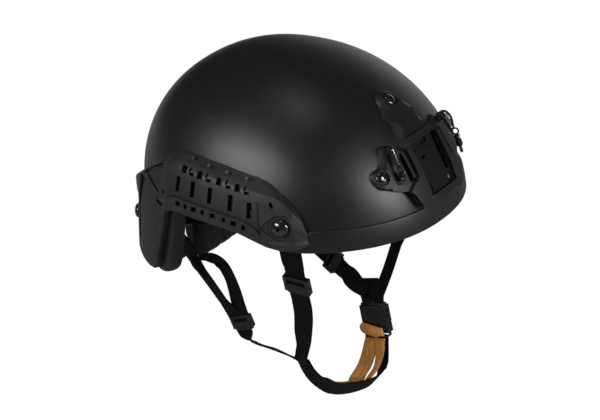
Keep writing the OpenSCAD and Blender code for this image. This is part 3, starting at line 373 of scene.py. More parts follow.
@dataclass(frozen=True)
class Leather(Finish):
    """Soft leather with creased grain, its creases darkened with painted shade and its crowns left pale, and darker
    where slow noise lays dirt.
    """

    # colour of the painted shade in the grain's creases
    crease: Colour = (0.3, 0.11, 0.02)

    def surface(self, g: Graph, effects: Effects) -> Surface:
        """Makes grain from cells, their edges darkened with painted shade, and dirt from slow noise.

        Args:
            g: A graph on the material.
            effects: The shared shader groups.

        Returns:
            Sockets of the colour, the roughness and the height, and the bump's strength.
        """
        place = g.place()
        cells = g.add("ShaderNodeTexVoronoi", {"Vector": place, "Scale": self.grain}, feature="DISTANCE_TO_EDGE")
        slow = {"Vector": place, "Scale": 70.0, "Detail": 6.0, "Roughness": 0.65, "Distortion": 0.7}
        wide = g.add("ShaderNodeTexNoise", slow).outputs["Fac"]
        pits = g.span(cells.outputs["Distance"], 0.0, 0.12, 0.0, 1.0)
        dirt = g.math("MULTIPLY", g.span(wide, 0.42, 0.68, 0.0, 1.0), 0.7)
        # painted shade: the cells' edges, sunk by the bump into creases, take the crease colour
        colour = g.blend(g.span(pits, 0.0, 1.0, 0.55, 0.0), g.blend(dirt, self.base, self.rubbed), self.crease)
        return colour, g.span(wide, 0.35, 0.7, *self.rough), g.math("MULTIPLY_ADD", wide, 1.2, pits), 0.9


FINISHES = (
    Finish("shell_paint", (0.007, 0.0068, 0.0074), (0.018, 0.0175, 0.0185), (0.37, 0.43), 1500, 6e-5, 0.35, 0.6),
    Finish("trim_rubber", (0.005, 0.0048, 0.0052), (0.014, 0.0135, 0.0145), (0.42, 0.5), 1100, 3e-5, 0.4, 0.6),
    Finish("black_nylon", (0.0105, 0.01, 0.0103), (0.042, 0.04, 0.041), (0.46, 0.56), 1300, 5e-5, 0.55, 0.57),
    Finish("black_plastic", (0.0032, 0.0032, 0.0034), (0.015, 0.0147, 0.015), (0.34, 0.46), 1200, 3e-5, 0.45, 0.57,
           specular=0.4),
    Finish("bracket_nylon", (0.006, 0.0058, 0.006), (0.026, 0.025, 0.0255), (0.44, 0.54), 1300, 5e-5, 0.55, 0.57,
           specular=0.3),
    Finish("black_screw", (0.012, 0.012, 0.013), (0.09, 0.09, 0.095), (0.12, 0.2), 700, 1e-5, 0.3, 0.6,
           metallic=0.35, specular=0.8, coat=0.6),
    Finish("zinc_nut", (0.28, 0.28, 0.29), (0.16, 0.16, 0.16), (0.34, 0.5), 900, 2e-5, 0.5, 0.6, metallic=1.0),
    Finish("grey_screw", (0.06, 0.06, 0.063), (0.2, 0.2, 0.2), (0.3, 0.42), 900, 1e-5, 0.4, 0.6, metallic=0.6),
    Finish("nickel", (0.62, 0.62, 0.63), (0.4, 0.4, 0.41), (0.24, 0.36), 900, 1e-5, 0.4, 0.6, metallic=0.6),
    Webbing("black_web", (0.0018, 0.0018, 0.002), (0.0085, 0.0081, 0.0088), (0.6, 0.8), depth=0.00025, specular=0.1),
    Webbing("strap_thread", (0.003, 0.003, 0.0032), (0.012, 0.012, 0.0125), (0.6, 0.7), depth=0.0001, pitch=0.0006,
            specular=0.2),
    Finish("tan_thread", (0.5, 0.27, 0.1), (0.36, 0.18, 0.06), (0.6, 0.75), 2500, 2e-5, 0.3, 0.7),
    Cloth("pad_cloth", (0.0035, 0.0035, 0.0038), (0.013, 0.013, 0.0135), (0.85, 0.95), 1300, 0.0004, sheen=0.08),
    Cloth("hook_tape", (0.02, 0.02, 0.02), (0.04, 0.04, 0.04), (0.8, 0.9), 900, 0.0005, sheen=0.5),
    Leather("tan_leather", (0.66, 0.3, 0.06), (0.42, 0.165, 0.028), (0.48, 0.64), 900, 0.0002),
    Finish("bay_plastic", (0.003, 0.003, 0.0032), (0.014, 0.0135, 0.014), (0.42, 0.52), 1200, 3e-5, 0.45, 0.57,
           specular=0.25),
)


class Finishes:
    """Every material of the helmet, built once and found by name."""

    def __init__(self) -> None:
        """Builds the materials."""
        effects = Effects()
        self._all = {finish.name: finish.build(effects) for finish in FINISHES}

    def __getitem__(self, name: str) -> Material:
        """The material of that name."""
        return self._all[name]


# --- The shell's form ---


@dataclass(frozen=True)
class ShellForm:
    """The rule that the moulded shell, and all that seats on it, follows."""

    half_w: float = 122.9
    front: float = 136.2
    rear: float = 143.4
    crown_h: float = 128.5
    crown_back: float = 14.2
    wall: float = 8.5
    crown_round: float = 0.97
    plan_round: float = 0.915
    flare: float = 3.0
    nape_drop: float = 50.0
    ear_top: float = 24.0
    brim_end: float = 70.0
    ear_front: float = 78.0
    ear_rear: float = 109.5
    nape_start: float = 115.5

    @property
    def mm_per_degree(self) -> float:
        """Distance round the wall for a degree of bearing."""
        return math.pi * (2 * self.half_w + self.front + self.rear) / 720

    def level(self, z: Array | float, g: Array | float) -> tuple[Array, Array]:
        """Sine of the latitude at a height, and the share of the plan's width that is left there."""
        high = np.clip(np.maximum(z, 0) / (self.crown_h + g), 0, 1) ** (1 / self.crown_round)
        return high, np.maximum(1 - high**2, 0) ** (self.crown_round / 2)

    def skin(self, u: Array | float, z: Array | float, g: Array | float = 0.0) -> Array:
        """Points on the wall, or off it.

        Args:
            u: Bearings.
            z: Heights.
            g: Distances outwards from the outer face.

        Returns:
            An array of points, its last axis X, Y and Z.
        """
        u, z, g = np.broadcast_arrays(np.asarray(u, float), np.asarray(z, float), np.asarray(g, float))
        k = g + self.flare * np.maximum(-z, 0) / self.nape_drop
        high, c = self.level(z, g)
        s, t = np.sin(np.radians(u)), np.cos(np.radians(u))
        depth = np.where(t > 0, self.front, self.rear) + k
        x = -(self.half_w + k) * c * np.sign(s) * np.abs(s) ** self.plan_round
        y = self.crown_back * high - depth * c * np.sign(t) * np.abs(t) ** self.plan_round
        return np.stack([x, y, z], -1)

    def brow(self, x: Array, z: Array, g: float) -> Array:
        """Y of the front of the shell, at places seen from the front.

        Args:
            x: Their X.
            z: Their heights.
            g: Distance outwards from the outer face.

        Returns:
            Their Y.
        """
        high, c = self.level(z, g)
        across = np.clip(np.abs(x) / np.maximum((self.half_w + g) * c, 1e-6), 0, 1)
        bulge = (1 - across ** (2 / self.plan_round)) ** (self.plan_round / 2)
        return self.crown_back * high - (self.front + g) * c * bulge

    def brow_bearing(self, x: float, z: float) -> float:
        """Bearing of a place on the front that is given by its X and its height."""
        c = float(self.level(z, 0.0)[1])
        return math.degrees(-math.copysign(1, x) * math.asin((abs(x) / (self.half_w * c)) ** (1 / self.plan_round)))

    def outward(self, u: float, z: float) -> Array:
        """Unit normal of the shell at a bearing and a height."""
        rise, turn = self.skin(u, z + 1) - self.skin(u, z - 1), self.skin(u + 1, z) - self.skin(u - 1, z)
        return unit(np.cross(rise, turn))

    def seat(self, u: float, z: float, g: float) -> Matrix:
        """Frame at a bearing and a height, g off the shell, its Z outwards and its X towards the crown."""
        n = self.outward(u, z)
        return aim(self.skin(u, z) + n * g, n, (0, 0, 1))

    def rim(self, step: float = 1.6) -> Array:
        """The rim's outline round the whole shell.

        Args:
            step: Distance between its points.

        Returns:
            Rows of bearing and height, closed but for the last step.
        """
        k = self.mm_per_degree
        low, high = -self.nape_drop, self.ear_top
        corners = np.array([
            (0, 0), (self.brim_end * k, 0), (self.ear_front * k, high), (self.ear_rear * k, high),
            (self.nape_start * k, low), (180 * k, low),
        ])
        line = [corners[0]]
        for i, reach in ((1, 10), (2, 12), (3, 15), (4, 14)):
            corner = corners[i]
            a, b = (corner + reach * unit(near - corner) for near in (corners[i - 1], corners[i + 1]))
            line += [(1 - t) ** 2 * a + 2 * t * (1 - t) * corner + t * t * b for t in np.linspace(0, 1, 12)]
        line.append(corners[5])
        half = resample(np.array(line), step)
        half[:, 0] /= k
        other = half[-2:0:-1].copy()
        other[:, 0] = 360 - other[:, 0]
        return np.concatenate([half, other])


def resample(line: Array, step: float) -> Array:
    """Points at even distances along a broken line.

    Args:
        line: Its corners.
        step: About the distance wanted.

    Returns:
        The new points, both ends kept.
    """
    run = np.concatenate([[0], np.cumsum(np.linalg.norm(np.diff(line, axis=0), axis=1))])
    count = max(2, int(round(run[-1] / step)) + 1)
    at = np.linspace(0, run[-1], count)
    return np.stack([np.interp(at, run, line[:, k]) for k in range(line.shape[1])], -1)


def unit(v: Array) -> Array:
    """Vectors brought to a length of one."""
    return v / np.linalg.norm(v, axis=-1, keepdims=True)


def around(count: int) -> Array:
    """Angles at even steps round a circle."""
    return np.linspace(0, 2 * math.pi, count, False)


def heading(route: Array, loop: bool = False) -> Array:
    """Unit directions along a route, which is open or a loop."""
    return unit(np.roll(route, -1, 0) - np.roll(route, 1, 0) if loop else np.gradient(route, axis=0))


def basis(place: Sequence[float], x: Sequence[float], y: Sequence[float], z: Sequence[float]) -> Matrix:
    """Frame from its origin and its three axes."""
    return Matrix(((*x, 0), (*y, 0), (*z, 0), (*place, 1))).transposed()


def aim(place: Sequence[float], along: Sequence[float], across: Sequence[float]) -> Matrix:
    """Frame with Z along one direction and X near another.

    Args:
        place: Its origin.
        along: Direction of its Z.
        across: Direction near its X.

    Returns:
        The frame.
    """
    z = Vector(along).normalized()
    y = z.cross(Vector(across)).normalized()
    return basis(Vector(place), y.cross(z), y, z)


def spline(points: Places, steps: int) -> Array:
    """Smooth run of points through a list of points.

    Args:
        points: The points to pass.
        steps: New points for each old one.

    Returns:
        The finer run.
    """
    p = np.asarray(points, float)
    n = len(p) - 1
    out = []
    for i in range(n):
        a, b, c, d = p[max(i - 1, 0)], p[i], p[i + 1], p[min(i + 2, n)]
        for t in np.arange(steps) / steps:
            start = 2 * b + (c - a) * t
            out.append(0.5 * (start + (2 * a - 5 * b + 4 * c - d) * t**2 + (3 * b - a - 3 * c + d) * t**3))
    out.append(p[n])
    return np.array(out)


# --- Making meshes ---


def lattice(rows: int, cols: int, close_rows: bool = False, close_cols: bool = True) -> Faces:
    """Faces of a grid of points.

    Args:
        rows: Number of rings.
        cols: Points in each ring.
        close_rows: Joins the last ring to the first.
        close_cols: Joins the last point of a ring to the first.

    Returns:
        The faces, as tuples of four indices.
    """
    return [
        (i * cols + j, i * cols + (j + 1) % cols, (i + 1) % rows * cols + (j + 1) % cols, (i + 1) % rows * cols + j)
        for i in range(rows if close_rows else rows - 1)
        for j in range(cols if close_cols else cols - 1)
    ]


def capped(rows: int, cols: int, loop: bool) -> Faces:
    """Faces of a run of closed rings, with a cap at each end unless it is a loop."""
    caps = [] if loop else [tuple(range(cols)), tuple((rows - 1) * cols + j for j in range(cols))]
    return lattice(rows, cols, close_rows=loop) + caps


def link(name: str, data: bpy.types.ID, place: Matrix | None = None) -> Object:
    """Puts a mesh, a lamp or a camera into the scene.

    Args:
        name: The object's name.
        data: What it shows.
        place: Its place in metres, or None for the origin.

    Returns:
        The new object.
    """
    obj = bpy.data.objects.new(name, data)
    bpy.context.scene.collection.objects.link(obj)
    if place is not None:
        obj.matrix_world = place
    return obj


def loose(name: str, points: Iterable, edges: Sequence = (), faces: Sequence = ()) -> Object:
    """Makes an object as it is given.

    Args:
        name: The object's name.
        points: Its vertices in millimetres.
        edges: Its edges.
        faces: Its faces.

    Returns:
        The new object.
    """
    mesh = bpy.data.meshes.new(name)
    mesh.from_pydata([tuple(p * MM) for p in points], edges, faces)
    return link(name, mesh)


def make(name: str, points: Array, faces: Faces, material: Material | None = None,
         smooth: float | None = None) -> Object:
    """Makes a closed solid from points in millimetres.

    Args:
        name: The object's name.
        points: Its vertices.
        faces: Its faces.
        material: Its finish.
        smooth: Edges sharper than this many degrees stay sharp, and None leaves faces flat.

    Returns:
        The new object, its faces turned outwards.
    """
    obj = loose(name, np.asarray(points, float).reshape(-1, 3), faces=faces)
    obj.data.validate()
    outside(obj)
    if material:
        obj.data.materials.append(material)
    if smooth is not None:
        soften(obj, smooth)
    return obj


def outside(obj: Object) -> None:
    """Turns a closed mesh's faces outwards.

    Args:
        obj: Its object.
    """
    bm = bmesh.new()
    bm.from_mesh(obj.data)
    bmesh.ops.recalc_face_normals(bm, faces=bm.faces[:])
    if bm.calc_volume(signed=True) < 0:
        bmesh.ops.reverse_faces(bm, faces=bm.faces[:])
    bm.to_mesh(obj.data)
    bm.free()


def mirrored(obj: Object) -> Object:
    """Moves a piece to the other side of the helmet.

    Args:
        obj: The piece.

    Returns:
        The same piece.
    """
    obj.data.transform(Matrix.Scale(-1, 4, (1, 0, 0)))
    outside(obj)
    return obj


def soften(obj: Object, degrees: float) -> None:
    """Shades a mesh smooth, but for its sharp edges."""
    obj.data.shade_smooth()
    obj.data.set_sharp_from_angle(angle=math.radians(degrees))


def dress(obj: Object, material: Material, degrees: float) -> Object:
    """Gives a whole piece one finish.

    Args:
        obj: The piece.
        material: Its finish.
        degrees: Edges sharper than this stay sharp.

    Returns:
        The same piece.
    """
    obj.data.materials.clear()
    obj.data.materials.append(material)
    soften(obj, degrees)
    return obj


def rings(name: str, sections: Sequence[Array], material: Material | None = None, loop: bool = False,
          smooth: float | None = None) -> Object:
    """Closed solid through a run of closed outlines, or round a loop of them."""
    points = np.array(sections)
    return make(name, points, capped(*points.shape[:2], loop), material, smooth)


def block(size: Sequence[float], centre: Sequence[float], place: Matrix) -> Solid:
    """A box in a frame.

    Args:
        size: Its length along X, Y and Z.
        centre: Its centre in the frame.
        place: The frame.

    Returns:
        Points in millimetres, and faces.
    """
    signs = [(x, y, z) for z in (-1, 1) for x, y in ((-1, -1), (1, -1), (1, 1), (-1, 1))]
    corners = [place @ Vector([centre[k] + size[k] * s[k] / 2 for k in range(3)]) for s in signs]
    faces = [(0, 3, 2, 1), (4, 5, 6, 7), (0, 1, 5, 4), (1, 2, 6, 5), (2, 3, 7, 6), (3, 0, 4, 7)]
    return np.array([list(c) for c in corners]), faces


def prism(outline: Places, low: float, high: float, place: Matrix) -> Solid:
    """An outline drawn along a frame's Z.

    Args:
        outline: Its corners in the frame.
        low: Where it starts.
        high: Where it ends.
        place: The frame.

    Returns:
        Points in millimetres, and faces.
    """
    n = len(outline)
    points = [place @ Vector((p[0], p[1], z)) for z in (low, high) for p in outline]
    faces = lattice(2, n) + [tuple(range(n))[::-1], tuple(range(n, 2 * n))]
    return np.array([list(p) for p in points]), faces


def drum(radius: float, low: float, high: float, place: Matrix, sides: int, offset: Sequence[float] = (0, 0)) -> Solid:
    """A cylinder along a frame's Z, as points in millimetres and faces."""
    ring = [(offset[0] + radius * math.cos(a), offset[1] + radius * math.sin(a)) for a in around(sides)]
    return prism(ring, low, high, place)


def tube(path: Places, radius: float | Sequence[float], place: Matrix, loop: bool = False) -> Solid:
    """A round bar along a path in a frame.

    Args:
        path: Its centre line.
        radius: Its radius, for each point or for all.
        place: The frame.
        loop: Joins its ends.

    Returns:
        Points in millimetres, and faces.
    """
    path = np.asarray(path, float)
    turns = around(12)
    along = heading(path, loop)
    first = np.cross(along[0], (0.3, 0.9, 0.2))
    points = []
    for p, d, size in zip(path, along, np.broadcast_to(radius, len(path))):
        first = unit(first - d * np.dot(first, d))
        second = np.cross(d, first)
        points += [p + size * (first * math.cos(a) + second * math.sin(a)) for a in turns]
    return np.array([list(place @ Vector(p)) for p in points]), capped(len(path), len(turns), loop)


def together(name: str, parts: Sequence[Solid]) -> Object:
    """Makes one object from several solids.

    Args:
        name: The object's name.
        parts: Points and faces of each.

    Returns:
        The new object.
    """
    points, faces, base = [], [], 0
    for p, f in parts:
        points.append(p)
        faces += [tuple(base + i for i in face) for face in f]
        base += len(p)
    return make(name, np.concatenate(points), faces)


def settle(obj: Object) -> Object:
    """Turns an object with modifiers into a plain mesh.

    Args:
        obj: The object.

    Returns:
        The same object.
    """
    graph = bpy.context.evaluated_depsgraph_get()
    graph.update()
    old = obj.data
    obj.data = bpy.data.meshes.new_from_object(obj.evaluated_get(graph))
    obj.modifiers.clear()
    if old.users == 0:
        bpy.data.meshes.remove(old)
    return obj


def combine(obj: Object, other: Object, operation: str = "DIFFERENCE") -> Object:
    """Cuts, joins or intersects an object with another, which is used up.

    Args:
        obj: The object that is changed.
        other: The second operand.
        operation: DIFFERENCE, UNION or INTERSECT.

    Returns:
        The changed object.
    """
    modifier = obj.modifiers.new("cut", "BOOLEAN")
    modifier.object = other
    modifier.operation = operation
    modifier.solver = "MANIFOLD"
    settle(obj)
    if not obj.data.polygons:
        raise RuntimeError(f"{obj.name}: {operation} left nothing")
    bpy.data.objects.remove(other)
    return obj


def carve(obj: Object, cuts: Sequence[Solid]) -> None:
    """Cuts several solids out of an object, one after another."""
    for cut in cuts:
        combine(obj, together("cutter", [cut]))


def bevel(obj: Object, width: float) -> Modifier:
    """Rounds an object's sharp edges by a live modifier.

    Args:
        obj: The object.
        width: Width of the rounding in millimetres.

    Returns:
        The modifier.
    """
    modifier = obj.modifiers.new("round", "BEVEL")
    modifier.width = width * MM
    modifier.segments = 2
    modifier.limit_method = "ANGLE"
    modifier.angle_limit = math.radians(SHARP)
    return modifier


def rounded(obj: Object, width: float, material: Material) -> Object:
    """Gives a moulded piece its finish and rounded edges.

    Args:
        obj: The piece.
        width: Width of the rounding in millimetres.
        material: Its finish.

    Returns:
        The same piece.
    """
    bm = bmesh.new()
    bm.from_mesh(obj.data)
    bmesh.ops.remove_doubles(bm, verts=bm.verts[:], dist=0.00002)
    bmesh.ops.dissolve_limit(bm, angle_limit=math.radians(0.6), verts=bm.verts[:], edges=bm.edges[:])
    bm.to_mesh(obj.data)
    bm.free()
    bevel(obj, width).miter_outer = "MITER_ARC"
    dress(settle(obj), material, 50)
    obj.modifiers.new("even", "WEIGHTED_NORMAL").keep_sharp = True
    return settle(obj)


def cloth_map(obj: Object, flat: Array) -> None:
    """Gives a woven piece its UV map, in metres.

    Args:
        obj: The piece.
        flat: A place in millimetres on the flat cloth for each of its points.
    """
    layer = obj.data.uv_layers.new(name="cloth")
    corners = np.zeros(len(obj.data.loops), int)
    obj.data.loops.foreach_get("vertex_index", corners)
    layer.data.foreach_set("uv", (flat * MM)[corners].astype(np.float32).ravel())


# --- Geometry Nodes for what repeats ---


class Repeats:
    """Trees of Geometry Nodes that place screws and stitches and tidy the CAD meshes."""

    def __init__(self) -> None:
        """Builds each tree."""
        self.screws = self._screws()
        self.stitches = self._stitches()
        self.tidy = self._tidy()

    def _begin(self, name: str, sizes: dict[str, float]) -> tuple[Graph, NodeOutputs]:
        """Starts a tree with a geometry, some sizes and a material as inputs.

        Args:
            name: The tree's name.
            sizes: Its float inputs with their default values.

        Returns:
            A graph on the tree, and the sockets of its inputs.
        """
        tree = bpy.data.node_groups.new(name, "GeometryNodeTree")
        tree.interface.new_socket(name="Geometry", in_out="INPUT", socket_type="NodeSocketGeometry")
        for label, value in sizes.items():
            tree.interface.new_socket(name=label, in_out="INPUT", socket_type="NodeSocketFloat").default_value = value
        tree.interface.new_socket(name="Finish", in_out="INPUT", socket_type="NodeSocketMaterial")
        tree.interface.new_socket(name="Geometry", in_out="OUTPUT", socket_type="NodeSocketGeometry")
        g = Graph(tree)
        return g, g.add("NodeGroupInput").outputs

    def _scaled(self, g: Graph, shape: Node, x: NodeSocket, y: NodeSocket, z: NodeSocket) -> NodeSocket:
        """Stretches a shape along each axis."""
        scale = g.add("ShaderNodeCombineXYZ", {0: x, 1: y, 2: z})
        return g.add("GeometryNodeTransform", {"Geometry": shape.outputs[0], "Scale": scale.outputs[0]}).outputs[0]

    def _stood(self, g: Graph, points: NodeSocket, shape: NodeSocket, along: NodeSocket) -> NodeSocket:
        """Stands a shape on each point, its Z along a direction."""
        turn = g.add("FunctionNodeAlignRotationToVector", {"Vector": along}, axis="Z").outputs[0]
        return g.add("GeometryNodeInstanceOnPoints",
                     {"Points": points, "Instance": shape, "Rotation": turn}).outputs[0]

    def _finish(self, g: Graph, geometry: NodeSocket, material: NodeSocket) -> NodeTree:
        """Ends a tree in Realize Instances and Set Material.

        Args:
            g: A graph on the tree.
            geometry: What it has made.
            material: Its input for the finish.

        Returns:
            The tree.
        """
        real = g.add("GeometryNodeRealizeInstances", {"Geometry": geometry})
        dressed = g.add("GeometryNodeSetMaterial", {"Geometry": real.outputs[0], "Material": material})
        g.add("NodeGroupOutput", {0: dressed.outputs[0]})
        return g.tree

    def _screws(self) -> NodeTree:
        """Domed heads with a six-sided socket, stood on points along their named direction.

        Returns:
            The tree.
        """
        g, given = self._begin("domed_screws", {"Head": 0.0155, "Dome": 0.005, "Socket": 0.0024})
        dome, half = given["Dome"], g.math("MULTIPLY", given["Head"], 0.5)
        ball = g.add("GeometryNodeMeshUVSphere", {"Segments": 40, "Rings": 20, "Radius": 1.0})
        hexagon = g.add("GeometryNodeMeshCylinder", {"Vertices": 6, "Radius": given["Socket"], "Depth": dome})
        lift = g.add("ShaderNodeCombineXYZ", {2: dome}).outputs[0]
        socket = g.add("GeometryNodeTransform", {"Geometry": hexagon.outputs[0], "Translation": lift})
        head = g.add("GeometryNodeMeshBoolean", operation="DIFFERENCE")
        g.feed(head.inputs[0], self._scaled(g, ball, half, half, dome))
        g.feed(head.inputs[1], socket.outputs[0])
        out = g.add("GeometryNodeInputNamedAttribute", {"Name": "out"}, data_type="FLOAT_VECTOR")
        return self._finish(g, self._stood(g, given[0], head.outputs[0], out.outputs[0]), given["Finish"])

    def _stitches(self) -> NodeTree:
        """Short threads laid end to end along a line of edges.

        Returns:
            The tree.
        """
        g, given = self._begin("stitches", {"Spacing": 0.0028, "Length": 0.002, "Thread": 0.00035})
        line = g.add("GeometryNodeMeshToCurve", {0: given[0]})
        row = {"Curve": line.outputs[0], "Length": given["Spacing"]}
        points = g.add("GeometryNodeCurveToPoints", row, mode="LENGTH")
        ball = g.add("GeometryNodeMeshUVSphere", {"Segments": 6, "Rings": 4, "Radius": 1.0})
        half = g.math("MULTIPLY", given["Length"], 0.5)
        thread = self._scaled(g, ball, given["Thread"], given["Thread"], half)
        return self._finish(g, self._stood(g, points.outputs[0], thread, points.outputs["Tangent"]), given["Finish"])

    def _tidy(self) -> NodeTree:
        """Merges a CAD mesh's loose triangles and keeps only its sharp edges sharp.

        Returns:
            The tree.
        """
        g, given = self._begin("tidy_solid", {"Sharp": 0.6})
        merged = g.add("GeometryNodeMergeByDistance", {"Geometry": given[0], "Distance": 0.00001})
        sharp = g.math("GREATER_THAN", g.add("GeometryNodeInputMeshEdgeAngle").outputs[0], given["Sharp"])
        shade = "GeometryNodeSetShadeSmooth"
        faces = g.add(shade, {"Geometry": merged.outputs[0], "Shade Smooth": True}, domain="FACE")
        values = {"Geometry": faces.outputs[0], "Selection": sharp, "Shade Smooth": False}
        return self._finish(g, g.add(shade, values, domain="EDGE").outputs[0], given["Finish"])

    def run(self, tree: NodeTree, obj: Object, sizes: dict[str, object]) -> Object:
        """Runs a tree on an object by a live modifier.

        Args:
            tree: The tree.
            obj: The object that feeds it.
            sizes: Values of its inputs by name.

        Returns:
            The object.
        """
        modifier = obj.modifiers.new(tree.name, "NODES")
        modifier.node_group = tree
        for item in tree.interface.items_tree:
            if item.in_out == "INPUT" and item.name in sizes:
                modifier[item.identifier] = sizes[item.name]
        obj.update_tag()
        return obj


# --- The workshop: what every sub-assembly shares ---


@dataclass
class Workshop:
    """The form, the finishes and the repeats, with the calls that hand a piece over."""

    form: ShellForm
    finishes: Finishes
    repeats: Repeats
    made: list[str] = field(default_factory=list)

    def give(self, obj: Object, body: str, slot: str, *nodes: str) -> Object:
        """Lets a piece ride on its body and stand for CAD nodes.

        Args:
            obj: The piece.
            body: The body that carries it, or "chin" for the pieces from the sewn end to the plug, which get no parent
                and have their transform applied.
            slot: The record's material slot; not used.
            *nodes: CAD nodes that it replaces.

        Returns:
            The piece.
        """
        if body == "chin":
            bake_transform(obj)
        else:
            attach(obj, body)
        if nodes:
            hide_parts(*nodes)
        self.made.append(obj.name)
        LOG.info("%s rides on %s, %d faces", obj.name, body, len(obj.data.polygons))
        return obj

    def keep(self, node: str, finish: str, width: float) -> None:
        """Dresses a CAD node that stays in view.

        Args:
            node: The node.
            finish: The finish's name.
            width: Width of its rounded edges, or 0.
        """
        obj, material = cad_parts[node], self.finishes[finish]
        for place in obj.material_slots:
            place.material = material
        if not obj.material_slots:
            obj.data.materials.append(material)
        self.repeats.run(self.repeats.tidy, obj, {"Sharp": math.radians(SHARP), "Finish": material})
        if width:
            bevel(obj, width)
        self.made.append(node)
        LOG.info("%s keeps its CAD shape as %s", node, finish)

    def stitch(self, name: str, lines: Sequence[Array], body: str, finish: str = "strap_thread",
               slot: str = "black_web", spacing: float = 2.8, length: float = 2.1, thread: float = 0.32) -> Object:
        """Sews along lines of points.

        Args:
            name: The piece's name.
            lines: Lines in millimetres.
            body: The body that carries it.
            finish: The thread's finish.
            slot: The record's material slot.
            spacing: Distance from stitch to stitch.
            length: Length of a stitch.
            thread: Radius of the thread.

        Returns:
            The stitches.
        """
        points, edges = [], []
        for line in lines:
            edges += [(len(points) + i, len(points) + i + 1) for i in range(len(line) - 1)]
            points += list(line)
        obj = loose(name, points, edges)
        sizes = {"Spacing": spacing * MM, "Length": length * MM, "Thread": thread * MM,
                 "Finish": self.finishes[finish]}
        settle(self.repeats.run(self.repeats.stitches, obj, sizes))
        soften(obj, 180)
        return self.give(obj, body, slot)

    def screws(self, name: str, seats: Sequence[Matrix], head: float, dome: float, socket: float, finish: str,
               slot: str, *nodes: str) -> Object:
        """Stands domed screws on seats.

        Args:
            name: The piece's name.
            seats: Frames in millimetres whose Z points outwards.
            head: Diameter of a head.
            dome: Height of its dome.
            socket: Radius of its socket.
            finish: Its finish.
            slot: The record's material slot.
            *nodes: CAD nodes that they replace.

        Returns:
            The screws.
        """
        obj = loose(name, [m.translation for m in seats])
        way = obj.data.attributes.new("out", "FLOAT_VECTOR", "POINT")
        way.data.foreach_set("vector", [x for m in seats for x in m.col[2][:3]])
        sizes = {"Head": head * MM, "Dome": dome * MM, "Socket": socket * MM, "Finish": self.finishes[finish]}
        settle(self.repeats.run(self.repeats.screws, obj, sizes))
        soften(obj, 35)
        return self.give(obj, "helmet", slot, *nodes)


# --- Shell and trim ---


@dataclass
class ShellAndTrim:
    """The moulded shell, with the rubber trim round its rim."""

    shop: Workshop
    rows: int = 46
    trim_h: float = 9.0
    brim_h: float = 17.5
    trim_t: float = 1.7

    def build(self) -> None:
        """Makes both pieces."""
        self.shell()
        self.trim()

    def _columns(self, rim: Array, g: float) -> Array:
        """Heights of each column's points, evenly spaced up to the crown.

        Args:
            rim: The rim's bearings and heights.
            g: Distance outwards from the outer face.

        Returns:
            A row of heights for each place on the rim.
        """
        form = self.shop.form
        top = form.crown_h + g
        lat = np.radians(np.linspace(0, 90, 400))
        z = top * np.sin(lat) ** form.crown_round
        r = 130 * np.cos(lat) ** form.crown_round  # about the mean half of the plan
        run = np.concatenate([[0], np.cumsum(np.hypot(np.diff(z), np.diff(r)))])
        out = np.zeros((len(rim), self.rows))
        for i, (_, low) in enumerate(rim):
            first = low if low < 0 else float(np.interp(low, z, run))
            at = np.linspace(first, run[-1], self.rows + 1)[:-1]
            out[i] = np.where(at < 0, at, np.interp(at, run, z))
        return out

    def shell(self) -> None:
        """The wall, smooth inside and out."""
        form = self.shop.form
        rim = form.rim()
        n, m = len(rim), self.rows
        points, faces = [], []
        for side, g in enumerate((0.0, -form.wall)):
            z = self._columns(rim, g)
            points.append(form.skin(rim[:, :1], z, g).reshape(-1, 3))
            base = side * (n * m + 1)
            points.append(np.array([[0, form.crown_back, form.crown_h + g]]))
            for i in range(n):
                a, b = base + i * m, base + (i + 1) % n * m
                faces += [(a + j, b + j, b + j + 1, a + j + 1) for j in range(m - 1)]
                faces.append((a + m - 1, b + m - 1, base + n * m))
        lift = n * m + 1
        faces += [(i * m, lift + i * m, lift + (i + 1) % n * m, (i + 1) % n * m) for i in range(n)]
        obj = make("shell_wall", np.concatenate(points), faces, self.shop.finishes["shell_paint"], 60)
        self.shop.give(obj, "helmet", "shell_paint", "shell")

    def trim(self) -> None:
        """The rubber edging: a rounded lip, and legs up both faces of the wall."""
        form = self.shop.form
        rim = form.rim(2.0)
        k = form.mm_per_degree
        way = np.roll(rim, -1, 0) - np.roll(rim, 1, 0)
        way[:, 0] = ((way[:, 0] + 180) % 360 - 180) * k
        side = unit(np.stack([-way[:, 1], way[:, 0]], -1))
        inner, t, gap = -form.wall, self.trim_t, 0.3
        middle, reach = inner / 2, t - inner / 2
        turns = np.radians(np.linspace(-88, 88, 15))
        lip = [(-2.3 * math.cos(a) ** 0.7 + 0.4 * (1 - math.cos(a)), middle + reach * math.sin(a)) for a in turns]
        sections = []
        for (u, z), n in zip(rim, side):
            off = min(u, 360 - u)
            high = np.interp(off, [58, 68], [self.brim_h, self.trim_h])
            low = self.trim_h - 1
            p = np.array([
                (-gap, gap + 0.2), (-gap, inner - gap - 0.2), (low, inner - gap - 0.25), (low - 0.2, inner - t + 0.3),
                (low - 1.0, inner - t), *lip, (high * 0.5, t), (high - 1.1, t), (high - 0.35, t * 0.93),
                (high, t * 0.7), (high, gap + 0.25),
            ])
            sections.append(form.skin(u + n[0] * p[:, 0] / k, z + n[1] * p[:, 0], p[:, 1]))
        obj = rings("edge_rubber", sections, self.shop.finishes["trim_rubber"], loop=True, smooth=50)
        self.shop.give(obj, "helmet", "trim_rubber", "edge_trim")


# --- Side rails ---


